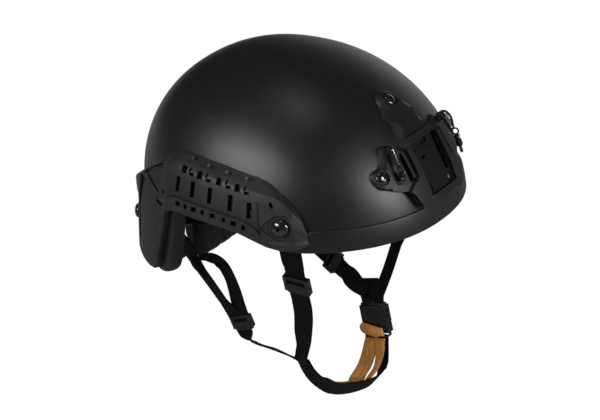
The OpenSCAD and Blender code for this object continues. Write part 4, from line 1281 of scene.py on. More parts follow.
@dataclass
class SideRails:
    """The pair of accessory rails with their pockets, slots and screws."""

    shop: Workshop
    rail_t: float = 8.5
    channel_d: float = 2.6
    pitch: float = 17.8
    stretch: float = 1.15
    slot_w: float = 3.8
    slot_h: float = 12.5
    head_d: float = 15.5
    screw_u: float = 68.3
    screw_z: float = 21.0
    anchor_u: float = 144.0
    anchor_z: float = -17.0
    recess_d: float = 2.4
    zero_u: float = 78.9
    top: Places = (
        (59.3, 15), (59.8, 21), (60.8, 29), (62.7, 36), (65.4, 43.5), (68, 48.5), (71.5, 54), (76, 57.5), (82, 59.5),
        (90, 62.5), (100, 64.5), (107, 64.2), (113, 61), (118, 54), (125, 42), (131, 35), (138, 27), (144, 19),
        (148, 9), (150, -4),
    )
    low: Places = (
        (59.3, 7), (61, 5.5), (64, 4), (69, 3), (74, 5.5), (83, 13.5), (91, 16.5), (104.5, 17.5), (109, 16),
        (112.2, 12), (120.3, -46), (122, -49.5), (126, -51), (142, -51), (147, -45), (150, -30),
    )
    ridge: Places = (
        (59.3, 13.8), (61, 28), (65.5, 42), (69, 46.5), (76, 49.5), (82, 51.5), (90, 54), (105, 56), (113, 54),
        (118, 47), (125, 37.5), (131, 31), (138, 23.5), (144, 15.5), (150, -6),
    )
    shelf: Places = (
        (59.3, 12.3), (72, 40), (80, 43.5), (89, 46), (102, 48.5), (110, 48), (118, 40), (131, 26), (150, -10),
    )
    ledge: Places = (
        (59.3, 9.5), (73, 10), (75.4, 15), (77.5, 20.5), (81.5, 25.2), (94, 29.4), (106, 30.5), (110, 27), (118, 20),
        (131, 10), (150, -20),
    )
    arm_slots: Places = (  # bearing, height, width, length, depth and lean
        (132.2, 14, 8.5, 37, 5.0, -24), (136.4, -17, 7.0, 36, 4.6, -5), (121, 41.3, 4.6, 34, 5.0, -63),
        (120.2, 30.5, 3.0, 23, 3.4, 66), (115.4, -15, 1.8, 58, 1.6, -17), (112.6, 28.4, 3, 4.4, 3.4, 0),
        (115.3, 17.5, 9, 3.8, 3.6, -12),
    )
    tear: Places = (
        (10.8, -6), (11.4, -4.2), (9.6, 4), (4.6, 12), (-0.2, 15.6), (-2, 15.6), (-5.4, 12), (-9.4, 4), (-10.6, -3),
        (-9.6, -6.4), (-7, -7.2), (6, -7),
    )
    studs: Places = ((99.8, 61.6), (92.9, 59.4), (86.5, 57.6), (79, 55.6))

    def at(self, table: Places, u: float) -> float:
        """Height of a line of the rail at a bearing."""
        return float(np.interp(u, [p[0] for p in table], [p[1] for p in table]))

    def face(self, u: float) -> float:
        """Height of the outer face above the shell at a bearing."""
        t = self.rail_t
        return float(np.interp(u, [59.3, 64.2, 66, 111, 114, 144, 150], [2.2, t, t, t, t - 1.2, t - 1.2, t - 4]))

    def trim_top(self, u: float) -> float:
        """Height that the trim reaches beside the ear cut.

        Args:
            u: Bearing.

        Returns:
            The height.
        """
        form = self.shop.form
        k = form.mm_per_degree
        up = form.ear_top / ((form.ear_front - form.brim_end) * k)
        down = (form.ear_top + form.nape_drop) / ((form.nape_start - form.ear_rear) * k)
        front = (u - form.brim_end) * k * up + 9 * math.hypot(1, up)
        rear = form.ear_top - (u - form.ear_rear) * k * down + 9 * math.hypot(1, down)
        base = np.interp(u, [58, 68], [17.5, 9]) if u < 90 else 9 - form.nape_drop
        return max(base, min(form.ear_top + 9, front, rear))

    def section(self, u: float) -> Array:
        """The rail's outline: its back from high to low, then its face from low to high.

        Args:
            u: Bearing.

        Returns:
            Points round the outline.
        """
        form = self.shop.form
        top, low, ridge = (self.at(t, u) for t in (self.top, self.low, self.ridge))
        shelf, ledge, face = self.at(self.shelf, u), self.at(self.ledge, u), self.face(u)
        deep = float(np.interp(u, [75.2, 76.2, 109.6, 110.6], [0.3, self.channel_d, self.channel_d, 0.3]))
        low_face = low + (ledge - low) * 0.08
        over = max(self.trim_top(u) + 0.6, low + 1.2)
        stepped = 2.2 if over > low + 1.5 else 0.55
        rows = (
            [(z, 0.55) for z in np.linspace(top, over, 8)]
            + [(z, stepped) for z in np.linspace(over - 0.5, low, 6)]
            + [(low, face - 1.4), (low + 0.15 * (low_face - low), face - 0.6), (low_face, face + 0.1),
               (low_face + 0.5 * (ledge - low_face), face + 0.2), (ledge - 0.3, face + 0.2),
               (ledge + 0.5, face - deep)]
            + [(z, face - deep) for z in np.linspace(ledge + 0.5, shelf - 0.5, 6)[1:]]
            + [(shelf + 0.3, face), (0.5 * (shelf + ridge), face + 0.05), (ridge, face),
               (0.5 * (ridge + top), (face + 1.4) / 2 + 0.35), (top, 1.4)]
        )
        return form.skin(u, *np.array(rows).T)

    def slot(self, u: float, z: float, w: float, h: float, low: float, high: float, lean: float = 0.0) -> Solid:
        """A block w wide and h long that cuts from low to high above the shell, turned by a lean."""
        seat = self.shop.form.seat(u, z, low) @ Matrix.Rotation(math.radians(lean), 4, "Z")
        return block((h, w, high - low), (0, 0, (high - low) / 2), seat)

    def solid(self, side: Side) -> Object:
        """One rail with everything cut into it.

        Args:
            side: Which side it is for.

        Returns:
            The rail.
        """
        form, k = self.shop.form, self.shop.form.mm_per_degree * self.stretch
        stations = np.unique(np.concatenate([np.arange(59.3, 150.01, 0.7), [75.2, 76.2, 109.6, 110.6, 150]]))
        obj = rings(f"rail_{side.label}_body", [self.section(u) for u in stations])
        face, anchor = self.rail_t, self.rail_t - 1.2
        cuts = []
        for i in range(5):
            u = self.zero_u + i * self.pitch / k
            z = self.at(self.shelf, u) * 0.47 + self.at(self.ledge, u) * 0.53
            cuts.append(self.slot(u, z, self.slot_w + 0.8, self.slot_h + 0.8, 0.9, face + 3))
        for i in range(8):
            u = self.zero_u + i * self.pitch / 2 / k
            wide = i % 2 == 1
            z = 0.5 * (self.at(self.shelf, u) + self.at(self.ridge, u))
            if wide:
                cuts.append(self.slot(u, z, 5.8, 6.2, face - 5.4, face + 3))
            else:
                cuts.append(self.slot(u, z - 1.6, 5.0, 2.6, face - 4.4, face + 3))
                cuts.append(self.slot(u + 0.8, z + 1.5, 1.9, 3.8, face - 4.4, face + 3))
            v = u + 2
            z = self.at(self.ledge, v) * 0.55 + self.at(self.low, v) * 0.45
            cuts.append(self.slot(v, z, 5.6 if wide else 3.4, 4.4, face - 5.2, face + 3))
        for *place, deep, lean in self.arm_slots:
            cuts.append(self.slot(*place, anchor - deep, anchor + 4, lean))
        cuts.append(self.slot(66.8, 44.3, 3.4, 2.2, face - 3.6, face + 3, 20))
        cuts.append(self.slot(70.4, 38.2, 2.8, 5, face - 4, face + 3, 30))
        recess = form.seat(self.screw_u, self.screw_z, face - self.recess_d)
        cuts += [drum(self.head_d / 2 + 3, 0, 9, recess, 56), prism(self.tear, 0.4, 9, recess)]
        carve(obj, cuts)
        for u, z in self.studs:
            stud = drum(1.3, 0, self.face(u) + 0.5 - 1.6, form.seat(u, z, 1.0), 16)
            combine(obj, together("stud", [stud]), "UNION")
        if side is Side.LEFT:
            mirrored(obj)
        return rounded(obj, 0.45, self.shop.finishes["black_nylon"])

    def build(self) -> None:
        """Makes the rails and the heads of their screws."""
        for side in Side:
            self.shop.give(self.solid(side), "helmet", "black_nylon", f"rail_{side.label}")
        form, sides = self.shop.form, (1, -1)  # signs of the right and the left side's bearings
        seats = [form.seat(s * self.screw_u, self.screw_z, self.rail_t - self.recess_d) for s in sides]
        anchors = [form.seat(s * self.anchor_u, self.anchor_z, self.rail_t - 0.8) for s in sides]
        black = "black_screw"
        self.shop.screws("rail_screw_heads", seats, self.head_d, 5.0, 2.4, black, black, "rail_screws")
        self.shop.screws("anchor_screw_heads", anchors, self.head_d - 3, 3.0, 2.0, black, black)


# --- Front bracket ---


@dataclass
class FrontBracket:
    """The bracket on the brow, its insert plate, screws and lanyards."""

    shop: Workshop
    arms_t: float = 5.0
    border_t: float = 8.5
    bay_w: float = 40.0
    bay_h: float = 46.0
    bay_z: float = 47.0
    border: float = 6.0
    insert_t: float = 3.2
    small_screw: Pair = (15.5, 5.0)  # from the bay's middle, and up from its foot
    post_x: float = 38.0
    post_z: float = 66.0
    half: Places = (
        (0, 102.5), (5.5, 101.5), (10, 98), (13.5, 92.5), (20, 86.5), (16.5, 80.5), (23, 72), (27, 67.5), (31, 70.5),
        (40, 71.5), (46, 65), (51, 58.2), (60, 55.5), (61.8, 49), (58.5, 43), (51, 41.2), (44, 38), (38.2, 36.5),
        (31.2, 20.1), (23, 20.1), (12, 18.8), (0, 18.5),
    )

    def form_solid(self, name: str, g: float, low: float = 8.0, high: float = 114.0) -> Object:
        """Solid between the grown brow and a plane behind it.

        Args:
            name: The object's name.
            g: Distance outwards from the shell.
            low: Height where it starts.
            high: Height where it ends.

        Returns:
            The solid.
        """
        back, zs = -50.0, np.linspace(low, high, 44)
        sections = []
        for x in np.linspace(-67.5, 67.5, 55):
            front = np.stack([np.full_like(zs, x), np.minimum(self.shop.form.brow(x, zs, g), back - 1), zs], -1)
            sections.append(np.concatenate([front, [[x, back, high], [x, back, low]]]))
        return rings(name, sections)

    def clear(self, obj: Object) -> None:
        """Cuts away what would lie in the shell."""
        combine(obj, self.form_solid("seat", 0.3, 4.0, 118.0))

    def outline(self) -> list[Pair]:
        """The bracket's outline seen from the front, its corners eased.

        Returns:
            Its points, as X and height.
        """
        half = [np.array(p, float) for p in self.half]
        points = half + [np.array([-p[0], p[1]]) for p in half[-2:0:-1]]
        n = len(points)
        out = []
        for i, p in enumerate(points):
            a, b = points[i - 1], points[(i + 1) % n]
            for q in (a, b):
                away = q - p
                reach = min(1.4, 0.3 * np.linalg.norm(away))
                out.append(tuple(p + away / np.linalg.norm(away) * reach))
        return out

    def chamfer(self) -> Object:
        """What is taken off along the arms' upper outline, broad at the top arm's flanks.

        Returns:
            The cutter.
        """
        points = np.array(self.outline())
        n = len(points)
        lean = unit(unit(np.roll(points, -1, 0) - points) + unit(points - np.roll(points, 1, 0)))
        out = np.stack([-lean[:, 1], lean[:, 0]], -1)
        if np.dot(out[2], points[2] - np.array([0, 70])) < 0:
            out = -out
        upper = [i for i in range(n) if points[i][1] > 41.5 or abs(points[i][0]) > 50]
        start = next(i for i in upper if (i - 1) % n not in upper)
        form, sections = self.shop.form, []
        for k in range(len(upper)):
            p, o = points[(start + k) % n], out[(start + k) % n]
            flank = 1.0 if 7 < abs(p[0]) < 24 and 66 < p[1] < 95 else 0.0
            inset, low = 1.7 + 2.9 * flank, 3.2 - 2.0 * flank
            high = self.border_t if abs(p[0]) < 26 and p[1] < 76 else self.arms_t
            slope = (high - low) / inset
            row = [(-inset, high + 0.03), (-inset, high + 6), (2.5, high + 6), (2.5, low - 2.5 * slope)]
            places = [(p + o * a, g) for a, g in row]
            sections.append([(q[0], float(form.brow(np.array(q[0]), np.array(q[1]), g)), q[1]) for q, g in places])
        return rings("chamfer", sections)

    @property
    def bay(self) -> Matrix:
        """Frame of the bay's face.

        Returns:
            The frame, its X across, its Y up the face and its Z outwards.
        """
        form = self.shop.form
        middle = (0, float(form.brow(np.array(0.0), np.array(self.bay_z), self.insert_t)), self.bay_z)
        return aim(middle, form.outward(0, self.bay_z), (1, 0, 0))

    @property
    def screw_places(self) -> Places:
        """Bearing and height of the three screws."""
        ear = self.shop.form.brow_bearing(-53.5, 50)
        return (0, 93.5), (ear, 50), (-ear, 50)

    def bay_block(self, grow: float) -> Object:
        """Block along the bay's face, grown on its sides."""
        return together("bay", [block((self.bay_w + 2 * grow, self.bay_h + 2 * grow, 80.0), (0, 0, 0), self.bay)])

    def body(self) -> Object:
        """The bracket's moulded body.

        Returns:
            The body.
        """
        face = basis((0, 0, 0), (1, 0, 0), (0, 0, 1), (0, -1, 0))  # looks at the helmet from the front
        near, far = 52, 190
        arms = self.form_solid("bracket_body", self.arms_t)
        raised = self.form_solid("bay_border", self.border_t)
        region = self.bay_block(self.border)
        for x in (-1, 1):
            flare = [(x * a, b) for a, b in ((22, 46), (30, 44.5), (40, 36.7), (40, 16.5), (22, 16.5))][::x]
            combine(region, together("flare", [prism(flare, near, far, face)]), "UNION")
        combine(raised, region, "INTERSECT")
        combine(arms, raised, "UNION")
        combine(arms, together("outline", [prism(self.outline(), near, far, face)]), "INTERSECT")
        self.clear(arms)
        combine(arms, self.bay_block(0))
        combine(arms, self.chamfer())
        seats = [self.shop.form.seat(u, z, 0) for u, z in self.screw_places]
        cuts = [drum(6.55, self.arms_t - 1.6, 16, seat, 40) for seat in seats]
        carve(arms, cuts + [block((5, 22, 200), (x, 54, 150), face) for x in (-31.5, 31.5)])
        return rounded(arms, 0.5, self.shop.finishes["bracket_nylon"])

    def insert(self) -> Object:
        """The plate in the bay, with its slots, catch and screw seats.

        Returns:
            The plate.
        """
        bay, top = self.bay, self.bay_h / 2
        plate = together("insert_plate", [block((self.bay_w - 0.6, self.bay_h - 0.6, 12), (0, 0, -6), bay)])
        self.clear(plate)
        cuts = [block((12, 6, 6), (0, top - 2, 1.4), bay)]
        cuts += [block((4, 7, 9), (x * 17.5, top - 3, 0), bay) for x in (-1, 1)]
        for x in (-1, 1):
            cuts.append(block((4.6, 29, 6), (x * 16.6, 3, 0), bay))
            cuts.append(drum(3.3, -1.9, 9, bay, 32, (x * self.small_screw[0], self.small_screw[1] - top)))
        carve(plate, cuts + [block((5.5, 2.6, 5), (-7.5, 8, 0), bay)])
        return rounded(plate, 0.35, self.shop.finishes["bay_plastic"])

    def hang(self, fall: Pair, rows: Places) -> Array:
        """Points below the lanyard's ring, drawn out and leant towards the shell."""
        ring, (stretch, lean) = -19.0, fall
        return np.array([(ring + (x - ring) * stretch, y, z + lean * (x - ring)) for x, y, z in rows])

    def lanyards(self) -> None:
        """The posts, and the snap clips that swing on them by a stiff coated wire loop. Short nickel bars laid on each
        clip's body are painted glints.
        """
        form = self.shop.form
        seat = form.seat(form.brow_bearing(-self.post_x, self.post_z), self.post_z, 9.5)
        loop = [(0, 0, -0.8), (1.7, 0.8, 0.4), (2.4, 1, 2.3), (0.4, 1, 5.2), (-5, 0.4, 6.2), (-11, 0, 4),
                (-15.2, 0, 1.4), (-12, -0.6, -0.6), (-5, -0.8, -1.2)]
        turns = around(24)
        dark = [
            tube(spline(loop + loop[:1], 6)[:-1], 0.95, seat, loop=True),
            drum(1.2, -3.9, 3.9, seat @ Matrix.Rotation(math.pi / 2, 4, "X"), 20),
            tube([(x, 0.4, 1.2 + 0.06 * x) for x in (-1.5, -2.2, -12.3, -13)], [1.0, 2.3, 2.1, 0.8], seat),
            tube([(-18 + 2.7 * math.cos(a), 0.2, 1.6 + 2.7 * math.sin(a)) for a in turns], 0.75, seat, loop=True),
        ]
        bright = tube([(-0.6, 0.9, 3.4), (-1.6, 0.9, 4.4), (-13.6, 0.2, 3.0), (-14.6, 0.0, 2.0)], 0.75, seat)
        bead = [(x, -0.6, 1.6 + 0.13 * (x + 18)) for x in (-20.6, -21.2, -23, -23.4, -24.2, -24.6, -28.6, -30)]
        bead_r = [1.0, 2.6, 2.7, 2.0, 2.0, 2.8, 2.6, 1.2]
        eye = [(-31.8 + 2.0 * math.cos(a), 2.0 * math.sin(a) - 0.8, -0.3) for a in turns]
        # painted glints: paths of short nickel bars laid on each clip's body where its highlights fall
        painted_glint_paths = ([(-21.6, -1.8, 3.5), (-23.4, -1.8, 3.4)], [(-27.4, 0.8, 2.8), (-28.6, 0.8, 2.5)])
        falls = {Side.RIGHT: (0.66, 0.3), Side.LEFT: (1.15, 0.26)}  # how far the tail reaches, and its lean
        for side, fall in falls.items():
            name = side.label
            self.shop.keep(f"lanyard_post_{name}", "black_plastic", 0.3)
            tail = [tube(self.hang(fall, bead), bead_r, seat), tube(self.hang(fall, eye), 0.8, seat, loop=True)]
            painted_glints = [tube(self.hang(fall, rows), 0.5, seat) for rows in painted_glint_paths]
            # the wire piece holds the bright wire and the painted glint bars
            looks = (("hook", dark + tail, "black_plastic", "black_plastic", [f"lanyard_clip_{name}"]),
                     ("wire", [bright] + painted_glints, "nickel", "bare_screw", []))
            for label, parts, finish, slot, nodes in looks:
                obj = together(f"lanyard_{label}_{name}", parts)
                if side is Side.LEFT:
                    mirrored(obj)
                dress(obj, self.shop.finishes[finish], 50)
                self.shop.give(obj, f"clip_{name}", slot, *nodes)

    def build(self) -> None:
        """Makes every piece of the bracket."""
        self.shop.give(self.body(), "helmet", "black_nylon", "bracket_frame")
        self.shop.give(self.insert(), "helmet", "black_nylon", "bracket_insert")
        seats = [self.shop.form.seat(u, z, self.arms_t - 1.6) for u, z in self.screw_places]
        black = "black_screw"
        self.shop.screws("bracket_screw_heads", seats, 11.5, 2.8, 1.9, black, black, "bracket_screws")
        x, y = self.small_screw[0], self.small_screw[1] - self.bay_h / 2
        small = [self.bay @ Matrix.Translation((s * x, y, -1.88)) for s in (-1, 1)]
        self.shop.screws("insert_screw_heads", small, 6.0, 1.5, 1.1, "grey_screw", "bare_screw", "insert_screws")
        self.lanyards()


# --- Straps ---


@dataclass
class StrapWork:
    """The chin strap's webbing, its buckle and sliders, and the leather cup."""

    shop: Workshop
    web_w: float = 19.0
    web_t: float = 1.4
    trim_inset: float = 3.3
    strap_inset: float = 2.0
    front_screw: Pair = (68.3, 21.0)
    rear_screw: Pair = (144.0, -17.0)
    turn: tuple[float, float, float] = (0.0, -1.0, 0.15)
    buckle_at: tuple[float, float, float] = (60.0, -24.5, -139.0)

    def right(self, inset: float, y: float, z: float) -> Array:
        """A place counted inwards from the right side."""
        return np.array([inset - self.shop.form.half_w, y, z])

    def left(self, inset: float, y: float, z: float) -> Array:
        """A place counted inwards from the left side."""
        return np.array([self.shop.form.half_w - inset, y, z])

    def axes(self, route: Array, across: Array) -> tuple[Array, Array]:
        """Unit directions across a band and out of its face, at each point of its route."""
        out = unit(np.cross(heading(route), across))
        return np.cross(out, heading(route)), out

    def band(self, name: str, route: Array, across: Array, width: float | Array) -> Object:
        """A band of webbing with softened edges and its UV map in metres.

        Args:
            name: The piece's name.
            route: Its centre line.
            across: Direction of its width, for each point or for all.
            width: Its width, for each point or for all.

        Returns:
            The band.
        """
        half = ((-0.5, -0.18), (-0.47, -0.42), (-0.42, -0.5), (0.0, -0.5), (0.42, -0.5), (0.47, -0.42), (0.5, -0.18))
        shape = np.array([*half, *((a, -b) for a, b in half[::-1])])
        w = np.broadcast_to(np.asarray(width, float), (len(route),))
        side, out = self.axes(route, np.broadcast_to(np.asarray(across, float), route.shape))
        t = np.full(len(route), self.web_t)
        sections = np.stack([route + side * (w * a)[:, None] + out * (t * b)[:, None] for a, b in shape], 1)
        obj = rings(name, sections, self.shop.finishes["black_web"], smooth=60)
        run = np.concatenate([[0], np.cumsum(np.linalg.norm(np.diff(route, axis=0), axis=1))])
        cloth_map(obj, np.stack([np.repeat(run, len(shape)), np.outer(w, shape[:, 0]).ravel()], -1))
        return obj

    def edges(self, route: Array, across: Array, width: float, first: int, last: int) -> list[Array]:
        """Lines of sewing along both edges of a band, on both faces.

        Args:
            route: The band's centre line.
            across: Direction of its width.
            width: Its width.
            first: Point of the route where the sewing starts.
            last: Point where it ends.

        Returns:
            Four lines of points.
        """
        part, inset, lift = slice(first, last), 1.8, self.web_t / 2 + 0.05
        side, out = (d[part] for d in self.axes(route, across))
        return [route[part] + side * a * (width / 2 - inset) + out * b * lift for a in (-1, 1) for b in (-1, 1)]

    def turned(self, count: int, keys: Sequence[tuple[float, Sequence[float]]]) -> Array:
        """Directions of a band's width along a route.

        Args:
            count: Number of points of the route.
            keys: Indices on the route, each with the direction there.

        Returns:
            A unit direction for each point, turning evenly between the keys.
        """
        at = [k for k, _ in keys]
        d = np.stack([np.interp(np.arange(count), at, [v[j] for _, v in keys]) for j in range(3)], -1)
        return d / np.linalg.norm(d, axis=1)[:, None]

    def run(self, a: Array, b: Array) -> list[Array]:
        """Seven even points from one place to another."""
        return [a + (b - a) * i / 6 for i in range(7)]

    def fronts(self) -> None:
        """Both front straps, doubled down to their sliders."""
        form = self.shop.form
        (u, z), inner, k = self.front_screw, -form.wall, self.trim_inset
        fall = [form.skin(u, z + 11, inner - k + 0.4), form.skin(u, z, inner - k), form.skin(u, 11, inner - k - 0.1),
                form.skin(u, 4.5, inner - k - 0.4)]
        y = fall[3][1]
        wall = unit(form.skin(u - 1, 10, 0) - form.skin(u + 1, 10, 0))
        ends = {  # the straight stretch, and what follows it
            Side.RIGHT: ([self.right(21.4, y - 1.9, -17), self.right(35.6, -48.4, -64)],
                         ((41.4, -45, -80), (48.9, -38, -102), (54.9, -32, -120), (58.7, -28, -137))),
            Side.LEFT: ([self.left(21.9, y - 1.6, -17), self.left(36.7, -44.5, -62)],
                        ((43.9, -40.3, -80), (51.9, -36, -102), (57.5, -32, -118), (59.8, -29.5, -126))),
        }
        twists = {
            Side.RIGHT: [(60, self.turn), (72, (-0.2, -0.98, 0.1)), (79, (-0.5, -0.86, 0.1)),
                         (84, (-0.32, -0.93, 0.17))],
            Side.LEFT: [(57, self.turn), (66, (-0.55, -0.83, 0.1))],
        }
        for side, (line, tail) in ends.items():
            flip, count = (MIRROR, self.left) if side is Side.LEFT else (np.ones(3), self.right)
            route = spline([p * flip for p in fall] + self.run(*line) + [count(*p) for p in tail], 6)
            start = [(18, wall * flip), (24, np.array([0.2, -1, 0.1]) * flip), (30, self.turn)]
            turn = self.turned(len(route), start + twists[side])
            name = side.label
            obj = self.band(f"front_web_{name}", route, turn, self.web_w)
            self.shop.give(obj, "helmet", "black_web", f"front_strap_{name}")
            lines = self.edges(route, turn, self.web_w, 60, len(route) - 4)
            self.shop.stitch(f"front_sewing_{name}", lines, "helmet", thread=0.22)

    def rears(self) -> None:
        """Both rear straps, with the loop behind the right one."""
        form = self.shop.form
        (u, z), inner, k = self.rear_screw, -form.wall - self.strap_inset, form.mm_per_degree
        anchor = [form.skin(u + s / k, z - max(-s, 0) * 0.12, inner - max(-s, 0) * 0.04) for s in (8, 0, -9)]
        off = [form.skin(u - a, b, inner - c) for a, b, c in ((12, -22, 4), (13, -30, 10.5), (14.5, -41, 18.5))]
        bend = [(-70.8, 79.5, -53), (-67, 75.5, -64.5), (-66.3, 68.5, -73.5), (-66, 59.7, -84.1), (-65.6, 51, -95),
                (-65.2, 42, -105), (-64.6, 35, -114.5)]
        ends = ((59.5, 27, -127), (60.1, 19, -131), (61.3, 4, -132.5), (62.8, -12, -136), (63.7, -23, -139))
        right = anchor + off + [np.array(p) for p in bend] + [self.right(*p) for p in ends]
        off = [form.skin(u - a, b, inner - c) * MIRROR for a, b, c in ((12, -24, 4), (14.3, -42, 14.5))]
        line = [self.left(53.4, 44, -96), self.left(58.9, 4, -117)]
        dips = ((0.481, -0.4, 3.8), (0.815, 0.2, 4.2))  # share of the way, and how far it hangs out of line
        sag = [off[-1] + (line[0] - off[-1]) * t + np.array([x, y, 0]) for t, x, y in dips]
        ends = ((62.3, -4, -120.2), (63.8, -10.5, -123), (64, -19, -126.5))
        left = [p * MIRROR for p in anchor] + off + sag + self.run(*line) + [self.left(*p) for p in ends]
        flat = [
            (24, (-0.2, -0.93, 0.3)), (42, (-0.3, -0.9, 0.25)), (60, (-0.3, -0.93, 0.0)), (70, self.turn),
            (76, self.turn), (81, (-0.77, -0.2, 0.5)), (90, (-0.77, -0.25, 0.45)), (102, (-0.3, -0.9, 0.2)),
        ]
        rows = (("right", right, (0.1, 0, 1), flat), ("left", left, (-0.1, 0, 1), [(45, self.turn)]))
        for name, points, start, keys in rows:
            route = spline(points, 6)
            turn = self.turned(len(route), [(12, start)] + keys)
            obj = self.band(f"rear_web_{name}", route, turn, self.web_w - 2)
            self.shop.give(obj, "helmet", "black_web", f"rear_strap_{name}")
        loop = [(-66.5, 78, -64), (-66.3, 73.5, -60.2), (-66, 67, -57.5), (-66, 57.5, -55.8), (-66, 48.5, -59),
                (-66, 42, -68.5), (-66, 37.8, -80), (-65.6, 34.6, -95), (-65, 31.5, -108), (-64.6, 30, -113)]
        route = spline(loop, 6)
        keys = [(0, (-0.2, -0.8, 0.5)), (20, (-0.2, -0.85, 0.45)), (32, (-0.25, -0.93, 0.2)), (50, self.turn)]
        turn = self.turned(len(route), keys)
        width = np.interp(np.arange(len(route)), [0, 12], [5, self.web_w - 2])
        obj = self.band("rear_web_loop", route, turn, width)
        self.shop.give(obj, "helmet", "black_web", "rear_loop_right")
        knot = [(-69.5, 78.8, -55.5), (-68, 77, -60), (-66.9, 75.2, -64.6), (-66.4, 71.5, -69.5), (-66.2, 67.5, -74.5)]
        wrap = spline(knot, 5)
        last = len(wrap) - 1
        wrap_r = np.interp(np.arange(len(wrap)), [0, 1, 5, 9, 14, last - 1, last], [2.0, 3.4, 4.6, 4.8, 4.0, 3.2, 2.0])
        obj = together("rear_web_wrap", [tube(wrap, wrap_r, Matrix.Identity(4))])
        self.shop.give(dress(obj, self.shop.finishes["strap_thread"], 50), "helmet", "black_web")

    def chin(self) -> None:
        """The strap under the chin, which turns its outer face forwards below the cup."""
        rows = np.array([  # a place on the strap, and the direction of its width there
            (-61.8, -27.5, -133.6, -0.29, -0.94, 0.17), (-59.4, -30, -143, -0.22, -0.96, 0.15),
            (-54.6, -32, -152.4, -0.05, -0.99, 0.15), (-47.4, -33.5, -161.7, 0.12, -0.97, 0.23),
            (-37, -34.5, -171.8, 0.24, -0.91, 0.35), (-24.7, -35, -180.8, 0.33, -0.77, 0.55),
            (-9.6, -35, -188.7, 0.33, -0.66, 0.68), (7.4, -35, -196.2, 0.28, -0.64, 0.71),
            (24.9, -35, -202, 0.21, -0.63, 0.75), (39.4, -35, -205, 0.08, -0.6, 0.79),
            (51.1, -34.5, -203.8, -0.23, -0.63, 0.74), (57.2, -33.5, -197.5, -0.5, -0.81, 0.3),
            (58.2, -32.3, -187.4, -0.29, -0.95, 0.11), (58.4, -31.3, -176.2, -0.12, -0.99, 0.09),
            (59.4, -30.6, -167, -0.05, -1, 0.12),
        ])
        route = spline(rows[:, :3], 8)
        turn = self.turned(len(route), [(8 * i, row[3:]) for i, row in enumerate(rows)])
        obj = self.band("chin_web", route, turn, self.web_w)
        self.shop.give(obj, "chin", "black_web", "chin_strap")

    def cup(self) -> None:
        """The tan leather cup inside the chin strap: two lobes with a slit, and a flap folded over the plug."""
        rows = np.array([  # a place on the cup's rear edge, and one on its front edge
            (53.4, -15.5, -156.5, 53.4, -37, -157.5), (53.2, -13.2, -160, 53.2, -38.8, -161.5),
            (53.2, -14.2, -164, 53.2, -40, -166.5), (53.6, -18.8, -167.8, 53.6, -39.6, -169.8),
            (52.8, -17.3, -177.3, 52.8, -39.6, -178.7), (51, -15.1, -188, 51, -38.1, -188.3),
            (47, -13.3, -197.6, 47, -35.8, -197), (41, -12, -203.5, 41, -33, -202.8),
            (32, -12, -207.5, 32, -32, -205), (18.5, -20, -204.5, 20.5, -36, -197), (6, -28, -199, 10, -39.8, -188.6),
            (-11.3, -28.3, -192, -6, -40.4, -181.4), (-26, -27.7, -183, -21, -41.6, -174.7),
            (-37, -27, -172.8, -33.8, -42.6, -167.8), (-46, -27.5, -161.5, -44.6, -41.5, -158.8),
        ])
        rear, front = spline(rows[:, :3], 10), spline(rows[:, 3:], 10)
        route, side = (rear + front) / 2, front - rear
        wide = np.linalg.norm(side, axis=1)
        side /= wide[:, None]
        n = len(route)
        inward = unit(np.cross(side, heading(route)))
        inward *= -np.sign(inward[20][0])
        t = np.arange(n) / 10.0
        lobes = np.clip((t - 2.7) / 0.4, 0, 1)
        slit = np.interp(t, [0, 3, 4, 5, 6, 7, 8, 9, 14], [-0.06, -0.06, 0.13, 0.28, 0.37, 0.42, 0.6, 0.7, 0.7])
        fold = np.interp(t, [0, 3, 5, 7, 9, 14], [-0.5, -0.45, -0.36, -0.28, -0.3, -0.3])
        q = np.linspace(-1, 1, 61)
        thick = np.interp(t, [0, 0.5, 1, 2, 2.6, 3, 8, 9.5, 14], [1.2, 2.6, 3.4, 3.4, 2.6, 2.3, 2.3, 1.5, 1.2])
        sections = []
        for i in range(n):
            crease = 1.1 * np.exp(-(((q - slit[i]) / 0.09) ** 2)) + 0.7 * np.exp(-(((q - fold[i]) / 0.07) ** 2))
            crease = lobes[i] * crease + 0.3 * np.exp(-(((np.abs(q) - 0.9) / 0.025) ** 2))
            crown = thick[i] * np.clip(1 - np.abs(q) ** 10, 0, 1) ** 0.5 * (1 + 0.1 * np.cos(3 * q))
            crown = crown - crease * min(1, thick[i] / 2.3)
            sag = 1.2 * lobes[i] * (q**2 - 0.4) * np.clip(9.5 - t[i], 0, 1)
            top = route[i] + side[i] * (wide[i] / 2 * q)[:, None] + inward[i] * (sag + np.maximum(crown, 0.3))[:, None]
            back = route[i] + side[i] * (wide[i] / 2 * q[::-1])[:, None] + inward[i] * sag[::-1][:, None]
            sections.append(np.concatenate([top, back[1:-1]]))
        obj = rings("chin_cup_leather", sections)
        gap = []
        for i in range(47, 82):
            half = 1.75 * math.sin(math.pi * (i - 46.5) / 35.0) ** 0.7
            middle = route[i] + side[i] * (wide[i] / 2 * slit[i])
            corners = ((half, -5), (half, 6), (-half, 6), (-half, -5))
            gap.append(np.array([middle + side[i] * a + inward[i] * b for a, b in corners]))
        combine(obj, rings("slit", gap))
        self.shop.give(dress(obj, self.shop.finishes["tan_leather"], 60), "chin", "tan_leather", "chin_cup")
        lines = []
        for a in (-0.9, 0.9):
            sag = 1.2 * lobes * (a**2 - 0.4) * np.clip(9.5 - t, 0, 1)
            lift = sag + thick * ((1 - abs(a) ** 10) ** 0.5 * (1 + 0.1 * math.cos(3 * a)) - 0.12)
            lines.append((route + side * (wide / 2 * a)[:, None] + inward * lift[:, None])[32:88])
        self.shop.stitch("cup_sewing", lines, "chin", "tan_thread", "tan_leather", 3.2, 2.3, 0.25)

